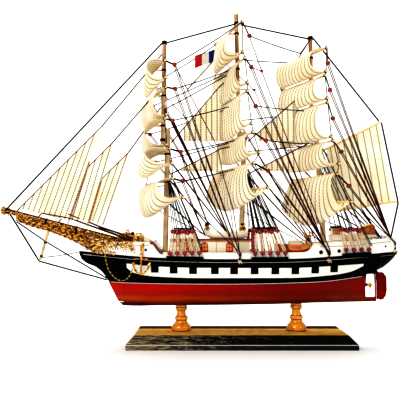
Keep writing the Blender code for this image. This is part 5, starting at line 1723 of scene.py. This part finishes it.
def buildWindlass():
    x, z, floor = (forecastle[key] for key in ("x", "z", "floor"))
    half, radius = forecastle["half"], forecastle["radius"]
    drum = [rod((x, -half, z), (x, half, z), radius, radius, 20)]
    for y in forecastle["discs"]:
        disc = turnedPiece([(0, 1.2), (3.2, 1.2), (4.9, 0.5), (4.9, -0.5), (3.2, -1.2), (0, -1.2)], 24)
        disc.data.transform(at(x, y, z, quarterX))
        drum.append(disc)
    for i in range(forecastle["whelps"]):
        angle = tau * i / forecastle["whelps"]
        whelpX, whelpZ = x + (radius + 0.1) * cos(angle), z + (radius + 0.1) * sin(angle)
        reach = forecastle["whelpHalf"]
        drum.append(rod((whelpX, -reach, whelpZ), (whelpX, reach, whelpZ), 0.5, 0.5, 6))
    fitOut(drum, "windlassBarrel", netGilt, "brass", replaces=["windlass"], smooth=40)
    frame, pawls = [], []
    for side in (-1, 1):
        y = side * forecastle["frameY"]
        frame.append(block((x - 6.6, y - 1.2, floor), (x + 6.6, y + 1.2, floor + 3), 0.4))
        frame.append(block((x - 3.4, y - 1.2, 124), (x + 3.4, y + 1.2, 135.6), 0.6))
        for reach, offset in ((6.6, 0), (5.3, 5.4)):
            arch = [vec(x - reach * cos(pi * i / 14), y + side * offset,
                        123.4 + 2.35 * reach * sin(pi * i / 14) ** 0.6) for i in range(15)]
            frame.append(tubes([arch], 0.7, 8))
    fitOut(frame, "windlassCast", goldPaint, "brass", smooth=40)
    for side in (-1, 1):
        y = side * forecastle["frameY"]
        for i in range(3):
            aft = x + 7.6 + 2.6 * i
            pawls.append(block((aft, y - 1, floor), (aft + 1.6, y + 1, 134.6 - 1.6 * i), 0.4))
    fitOut(pawls, "windlassBitts", birchDowel, "pale_wood")
    print("windlass cast")


def buildForecastle():
    # gilt crest, its posts and dark knob, the white bollards and the stained edge of the deck's break
    crest = []
    for side in (-1, 1):
        y = side * forecastle["crestY"]
        for i in range(6):
            lift = 4.6 * sin(pi * (i + 0.5) / 6)
            crest.append(scrollPath(vec(-152 + 3.4 * i, y, 133.4 + lift), 2.3, alongX, upZ * side, 1.5))
            crest.append(scrollPath(vec(-150 + 3.4 * i, side * 5.4, 129.4), 2.1, -alongX, upZ * side, 1.5))
        crest += [slack((-155, y, 130.4), (-131, y, 131.4), -7.5),
                  slack((-156, y, 123.6), (-131, y, 123.6), 0.4)]
    crest.append(scrollPath(vec(-142, 0, 141.2), 2.2, turns=1.4))
    threads("forecastleCrest", crest, 0.55, netGilt, "brass", 6)
    stems = [rod((x, 0, forecastle["floor"] - 0.1), (x, 0, top), radius, 0.9, sides)
             for x, top, radius, sides in forecastle["crestPosts"]]
    fitOut(stems, "crestPosts", goldPaint, "brass")
    knob = beadPattern(forecastle["knobRadius"])
    knob.data.transform(at(*forecastle["knob"]))
    fitOut(knob, "crestKnob", flatBlackAndHoleShade, "black_paint")
    bollards = []
    for side in (-1, 1):
        for x in forecastle["bollards"]:
            post = turnedPiece(forecastle["bollard"], 14)
            post.data.transform(at(x, side * forecastle["bollardY"], 121.2))
            bollards.append(post)
    fitOut(bollards, "forecastleBollards", whiteEnamel, "white_paint", smooth=50)

    def breakPoint(a, b):
        x = forecastle["breakFrom"] + forecastle["breakLong"] * round(a * 14) / 14
        return x, (halfAt(x) + 1.3) * (2 * b - 1), bulwarkTop(x) - 0.2

    board = laidGrid(14, 8, breakPoint)
    tidyNormals(board)
    settle(board, thickened(forecastle["breakThick"]))
    fitOut(board, "breakEdges", breakStain, "roof_brown")
    print("forecastle fitted")


buildBowsprit()
buildBowDetails()
buildAnchors()
buildWindlass()
buildForecastle()


# House paints and stains
windowRed = lacquerFinish("windowRedPaint", "D02008", "900E04", 0.3, 0.4, 0.05, fineBrush)
paneOrange = lacquerFinish("paneOrangePaint", "FFB040", "D67A1C", 0.3, 0.4, 0.05, fineBrush)
eavesTan = grainedFinish("tanVarnishedEaves", "C98544", "8E4E1E", (40, 600, 600), 0.35, 0.5)
wedgeAmber = grainedFinish("amberWheelBox", "B85A18", "561C04", (60, 500, 240), 0.25, 0.7)

# boxes as both ends in x, half-width and both heights; windows as x, width and height
houses = {
    "deckhouse": ((-86, 12), 16, (110.7, 129.6)), "roof": ((-88, 15), 18, (129.9, 131.9)),
    "companion": ((62, 79), 7, (110.7, 129.8)), "poop": ((116, 170), 13, (121.3, 136.8)),
    "skylight": ((118, 130), 7, (136.6, 144.9)),
    "wheelBox": ((150, 136.6), (150, 144.5), (167, 150.6), (171, 147.5), (171, 136.6)),
    "wheelHalf": 7, "windows": ((-78, 4.4, 6.8), (-44.4, 8.6, 12.4), (-13.4, 8.6, 12.4)),
    "doorX": -66.5, "doorHalf": 3.6, "doorZ": (112, 127.2), "doorPanes": (113.4, 120.2),
    "frame": 0.9, "pane": 0.62, "wallSeams": (-56, -29.6, -1.5), "seam": 0.22,
}
# middle x and y, length, half-beam, keel z, gunwale z
boats = {"long_boat_port": (-18, -11, 56, 6.5, 131.7, 142),
         "long_boat_starboard": (-18, 11, 56, 6.5, 131.7, 142),
         "deck_boat_port": (66, -21, 39, 6, 109.9, 125.5),
         "deck_boat_starboard": (66, 21, 39, 6, 109.9, 125.5)}
# shares along the boat, bow first, against shares of the half-beam and of the depth
boatLines = {
    "wide": ((-0.5, 0.10), (-0.42, 0.45), (-0.25, 0.85), (0, 1), (0.25, 0.92), (0.42, 0.70), (0.5, 0.50)),
    "lift": ((-0.5, 0.55), (-0.42, 0.30), (-0.25, 0.05), (0, 0), (0.25, 0), (0.42, 0.12), (0.5, 0.30)),
    "section": ((-1, 1), (-0.98, 0.72), (-0.86, 0.4), (-0.6, 0.14), (-0.25, 0.02), (0, 0)),
    "shell": 0.7, "sheer": 1.6, "seats": (-0.22, 0.02, 0.26), "transom": 0.49,
}


def plate(outline, y, thick, bevel=0.15):
    # a flat outline of x and z, given a thickness about its y
    mesh = bpy.data.meshes.new("plate")
    mesh.from_pydata([(x * mm, y * mm, z * mm) for x, z in outline], [], [tuple(range(len(outline)))])
    return settle(linked(mesh), thickened(thick), eased(bevel, 0.6))


def archLine(x, z, wide, high):
    # window outline: a straight foot and sides with a round head, x and z at the middle of the foot
    half = wide / 2
    spring = z + high - half
    arc = [(x + half * cos(pi * i / 10), spring + half * sin(pi * i / 10)) for i in range(11)]
    return [(x - half, z), (x + half, z)] + arc


def panel(x, half, low, high):
    # a straight outline about x, from height low to height high
    return [(x - half, low), (x + half, low), (x + half, high), (x - half, high)]


def lidded(name, under, overX, overY, lid, bevel):
    # a box with a thin lid that hangs over it; under is the gap from the box to the lid's top
    (x0, x1), half, (z0, z1) = houses[name]
    return joined([block((x0, -half, z0), (x1, half, z1 - under), bevel),
                   block((x0 - overX, -half - overY, z1 - lid), (x1 + overX, half + overY, z1), 0.4)])


def houseWindows():
    half, out = houses["deckhouse"][1], houses["pane"]
    frames, panes = [], []
    for side in (-1, 1):
        y = side * (half + 0.25)

        def pane(x, low, high, reach):
            panes.append(block((x - reach, y - out, low), (x + reach, y + out, high), 0.2))

        for x, wide, high in houses["windows"]:
            if high > 8:
                foot = 121.6 - high / 2
                frames.append(plate(archLine(x, foot, wide, high), y, houses["frame"]))
                for column in (-1, 1):
                    for middle in (foot + high * 0.26, foot + high * 0.68 - 0.6):
                        pane(x + column * wide * 0.2, middle - 1.8, middle + 1.8, 1.25)
            else:
                frames.append(plate(panel(x, wide / 2, 122, 128.8), y, houses["frame"]))
        x, reach = houses["doorX"], houses["doorHalf"]
        frames.append(plate(panel(x, reach, *houses["doorZ"]), y, houses["frame"]))
        for low in houses["doorPanes"]:
            pane(x, low, low + 5.4, reach - 1.2)
    fitOut(frames, "houseWindowFrames", windowRed, "red_paint")
    fitOut(panes, "houseWindowPanes", paneOrange, "brown_wood")


def buildHouses():
    (x0, x1), half, (z0, z1) = houses["deckhouse"]
    fitOut(block((x0, -half, z0), (x1, half, z1), 0.5), "deckhouseWalls", creamEnamel, "cream_paint",
           replaces=["deckhouse"])
    (x0, x1), wide, (z0, z1) = houses["roof"]
    fitOut(block((x0, -wide, z0 + 0.3), (x1, wide, z1), 0.45), "deckhouseRoofSlab", roofStain, "roof_brown",
           replaces=["deckhouse_roof"])
    fitOut(block((x0 + 0.8, -wide + 0.7, z0 - 1.5), (x1 - 0.8, wide - 0.7, z0 + 0.2), 0.3), "deckhouseEaves",
           eavesTan, "brown_wood")
    houseWindows()
    fitOut(lidded("companion", 2, 0.8, 0.6, 1.6, 0.5), "companionHood", creamEnamel, "cream_paint",
           replaces=["companion"])
    fitOut(lidded("poop", 1.4, 0.6, 0.5, 1.4, 0.4), "poopHouseWalls", creamEnamel, "cream_paint",
           replaces=["poop_house"])
    # upright and lengthwise seams of the deckhouse, then the two long ones of the poop house
    seams = []
    for side in (-1, 1):
        y = side * (half + 0.05)
        seams += [[(x, y, 112.5), (x, y, 128)] for x in houses["wallSeams"]]
        seams.append([(-84, y, 112), (10, y, 112)])
    (x0, x1), half, _ = houses["poop"]
    seams += [[(x0 + 1, side * (half + 0.05), z), (x1 - 1, side * (half + 0.05), z)]
              for side in (-1, 1) for z in (129.6, 126.8)]
    threads("houseSeams", seams, houses["seam"], roofStain, "roof_brown", 5)
    fitOut(lidded("skylight", 1.2, 0.7, 0.7, 1.2, 0.4), "poopSkylight", eavesTan, "brown_wood")
    wheelHalf = houses["wheelHalf"]
    fitOut(plate(houses["wheelBox"], 0, 2 * wheelHalf, 0.6), "wheelBoxWedge", wedgeAmber, "brown_wood")
    edges = [[(x, y, z) for x, z in houses["wheelBox"][1:4]] for y in (-wheelHalf, wheelHalf)]
    scrolls = [scrollPath(vec(161, side * (wheelHalf + 0.3), 142.6), 2.6) for side in (-1, 1)]
    fitOut(joined([tubes(edges, 0.45, 5), tubes(scrolls, 0.4, 5)]), "wheelBoxTrim", goldPaint, "brass")
    knobs = [at(119.5 + 4.6 * i, y, 146.3) for i in range(3) for y in (-5, 5)]
    stringBeads("skylightKnobs", 1.7, knobs, flatBlackAndHoleShade, "black_paint")
    print("houses built")


def boatPoint(name, along, share, depthShare):
    x, y, length, half, keel, gunwale = boats[name]
    wide, lift = curveThrough(boatLines["wide"])(along), curveThrough(boatLines["lift"])(along)
    low = keel + lift * (gunwale - keel)
    top = gunwale + boatLines["sheer"] * (2 * along) ** 2 - boatLines["sheer"]
    return vec(x + along * length, y + share * half * wide, low + (top - low) * depthShare)


def boatLine(name, start, reach, share, depthShare):
    # a line along the boat from share start over a share of reach
    return [boatPoint(name, start + reach * i / 24, share, depthShare) for i in range(25)]


def buildBoat(name, material, slot):
    x, y, length, half = boats[name][:4]
    section = list(boatLines["section"])
    ring = section + [(-share, rise) for share, rise in reversed(section[:-1])]
    raised = vec(0, 0, boatLines["shell"] / 2)
    shell = laidGrid(24, len(ring) - 1, lambda a, b: boatPoint(
        name, (a - 0.5) * (1 - 1.2 / length), *entryAt(ring, b)) + raised)
    tidyNormals(shell)
    settle(shell, thickened(boatLines["shell"]))
    parts = [shell]
    for along in boatLines["seats"]:
        middle, reach = x + along * length, curveThrough(boatLines["wide"])(along) * half - 0.4
        seat = boatPoint(name, along, 0, 1).z - 1.6
        parts.append(block((middle - 1.3, y - reach, seat - 0.7), (middle + 1.3, y + reach, seat), 0.2))
    end = boatLines["transom"]
    top, foot = boatPoint(name, end, 0, 1), boatPoint(name, end, 0, 0).z
    wide = curveThrough(boatLines["wide"])(end) * half * 0.92
    parts.append(block((top.x - 1, y - wide, foot), (top.x, y + wide, top.z), 0.2))
    fitOut(parts, f"{name}_hull", material, slot, replaces=[name], smooth=50)
    trim = [boatLine(name, -0.49, 0.98, share * 0.99, 1) for share in (-1, 1)]
    trim.append([point + vec(0, 0, 0.1) for point in boatLine(name, -0.48, 0.96, 0, 0)])
    fitOut(tubes(trim, 0.55, 6), f"{name}_gunwale", material, slot)


# gilt fittings at the long boats' ends, the chocks under them and the posts on the main deck
boatGear = {
    "y": 11, "ends": (-41.2, 3.9), "z": 141.6, "stem": 7, "chocks": (-34, -4), "knob": 1.8,
    "postY": 15, "post": ((89.5, 121.2), (86, 140.5), 1.3, 1, 12),
    "bar": ((84, 134.5), (91.5, 136), 0.9, 0.9, 10),
}


def buildBoats():
    fittings, caps, chocks = [], [], []
    for word, side in (("port", -1), ("starboard", 1)):
        buildBoat(f"long_boat_{word}", creamEnamel, "cream_paint")
        name = f"deck_boat_{word}"
        buildBoat(name, boatVarnish, "brown_wood")
        stripe = [boatLine(name, -0.46, 0.94, side * 1.02, 0.42 + 0.04 * k) for k in range(4)]
        threads(f"deckBoatStripe_{word}", stripe, 0.35, windowRed, "red_paint", 5)
        gilt = [scrollPath(boatPoint(name, 0.16 + 0.08 * i, side * 1.05, 0.72), 1.6, turns=1.3, steps=12)
                for i in range(4)]
        y, z, stem = side * boatGear["y"], boatGear["z"], vec(0, 0, boatGear["stem"])
        for x in boatGear["ends"]:
            base = Vector((x, y, z))
            fittings += [slack(base, base + stem, 0, 3), scrollPath(base + stem, 3.2),
                         scrollPath(base + vec(1.4, -0.8, 2.4), 2.8, -alongX, upZ, 1.3, 16),
                         scrollPath(base + vec(-1.6, 0.8, 1.8), 2.4, alongX, upZ, 1.3, 16)]
            caps += [at(x - 1, y, z + 8.2), at(x + 1.6, side * 11.6, z + 4, scale=0.8)]
        threads(f"boatGilding_{word}", gilt, 0.5, goldPaint, "brass", 6)
    threads("boatFittings", fittings, 0.75, netGilt, "brass", 6)
    stringBeads("boatFittingKnobs", boatGear["knob"], caps, flatBlackAndHoleShade, "black_paint")
    for side in (-1, 1):
        y = side * boatGear["y"]
        for x in boatGear["chocks"]:
            chocks.append(block((x - 1, y - 4, 131.8), (x + 1, y + 4, 133.6), 0.2))
        for (x0, z0), (x1, z1), *sizes in (boatGear["post"], boatGear["bar"]):
            chocks.append(rod((x0, side * boatGear["postY"], z0), (x1, side * boatGear["postY"], z1), *sizes))
    fitOut(chocks, "chocksAndBitts", eavesTan, "brown_wood")
    print("boats stowed")


# poop rail, seams of the three decks as start, end and height, and the bands wound round the masts
deckTrim = {
    "railX": (150, 188), "railPosts": (152, 161, 170, 179, 187), "railIn": 1.2, "railTall": 3,
    "decks": ((-104, 84, 110.45), (-164, -110, 121.05), (88, 182, 121.05)), "plank": 4,
    "mastheads": {"fore": 385, "main": 409.8, "mizzen": 391},
    "cap": ((0, 1.2), (1.6, 1), (2.9, 0.1), (2.9, -1.2), (0, -1.2)),
}


def buildDeckTrim():
    rails, posts, seams, bands, caps = [], [], [], [], []
    for side in (-1, 1):
        def railAt(x, rise):
            return x, side * (halfAt(x) - deckTrim["railIn"]), bulwarkTop(x) + rise

        rails.append([railAt(x, deckTrim["railTall"]) for x in hullXs(*deckTrim["railX"])])
        posts += [[railAt(x, 0), railAt(x, deckTrim["railTall"])] for x in deckTrim["railPosts"]]
    threads("poopRail", rails + posts, 0.45, brownThread, sides=6)
    for y in range(-26, 27, deckTrim["plank"]):
        for start, end, z in deckTrim["decks"]:
            xs = [x for x in hullXs(start, end, 6) if halfAt(x) - 3.5 > abs(y)]
            if len(xs) > 1:
                seams.append([(x, y, z) for x in xs])
    threads("deckSeams", seams, 0.14, roofStain, "roof_brown", 4)
    # wound bands at every parrel, under the masthead and where the spars overlap
    for mast, rows in sails.items():
        marks = [(row[0], 2) for row in rows]
        marks += [(deckTrim["mastheads"][mast], 4.6), (masts[mast]["topFootZ"] + 6, 3.4)]
        for z, tall in marks:
            x, radius = mastLine(mast, z)
            around = radius + 0.35
            bands.append([(x + around * cos(tau * i / 10), around * sin(tau * i / 10),
                           z - tall / 2 + tall * i / 50) for i in range(51)])
    threads("mastLashings", bands, 0.42, blackThread)
    for mast in masts.values():
        x, z = mast["top"]
        cap = turnedPiece(deckTrim["cap"], 20)
        cap.data.transform(at(x, 0, z - 0.6))
        caps.append(cap)
    fitOut(caps, "mastheadCaps", birchDowel, "pale_wood")
    print("deck trimmed")


# the screw: hub profile, blades, blade root and length, greatest half-width, pitch at the root and its fall
screw = {"hub": ((0, 3.2), (0.9, 2.8), (1.5, 1.6), (1.9, -2.2), (1.9, -2.6), (0, -2.6)), "x": 165.2,
         "blades": 3, "root": 0.6, "blade": 5, "half": 2.3, "pitch": 52, "pitchFall": 24, "thick": 0.5}


def bladePoint(a, b):
    half = screw["half"] * sin(pi * min(0.18 + 0.72 * b, 1)) ** 0.8
    twist = radians(screw["pitch"] - screw["pitchFall"] * b)
    across = (2 * a - 1) * half
    return across * sin(twist) * 0.75, across * cos(twist), screw["root"] + screw["blade"] * b


def buildSternGear():
    dress("rudder", rudderRed)
    hub = turnedPiece(screw["hub"], 20)
    hub.data.transform(Matrix.Rotation(radians(90), 4, "Y"))
    parts = [hub]
    for i in range(screw["blades"]):
        blade = settle(laidGrid(8, 10, bladePoint), thickened(screw["thick"]))
        blade.data.transform(Matrix.Rotation(tau / screw["blades"] * i, 4, "X"))
        parts.append(blade)
    whole = joined(parts)
    whole.data.transform(at(screw["x"], 0, hull["shaftZ"]))
    fitOut(whole, "propellerScrew", goldPaint, "brass", "propeller", ["propeller"], 40)
    print("stern gear fitted")


buildHouses()
buildBoats()
buildDeckTrim()
buildSternGear()
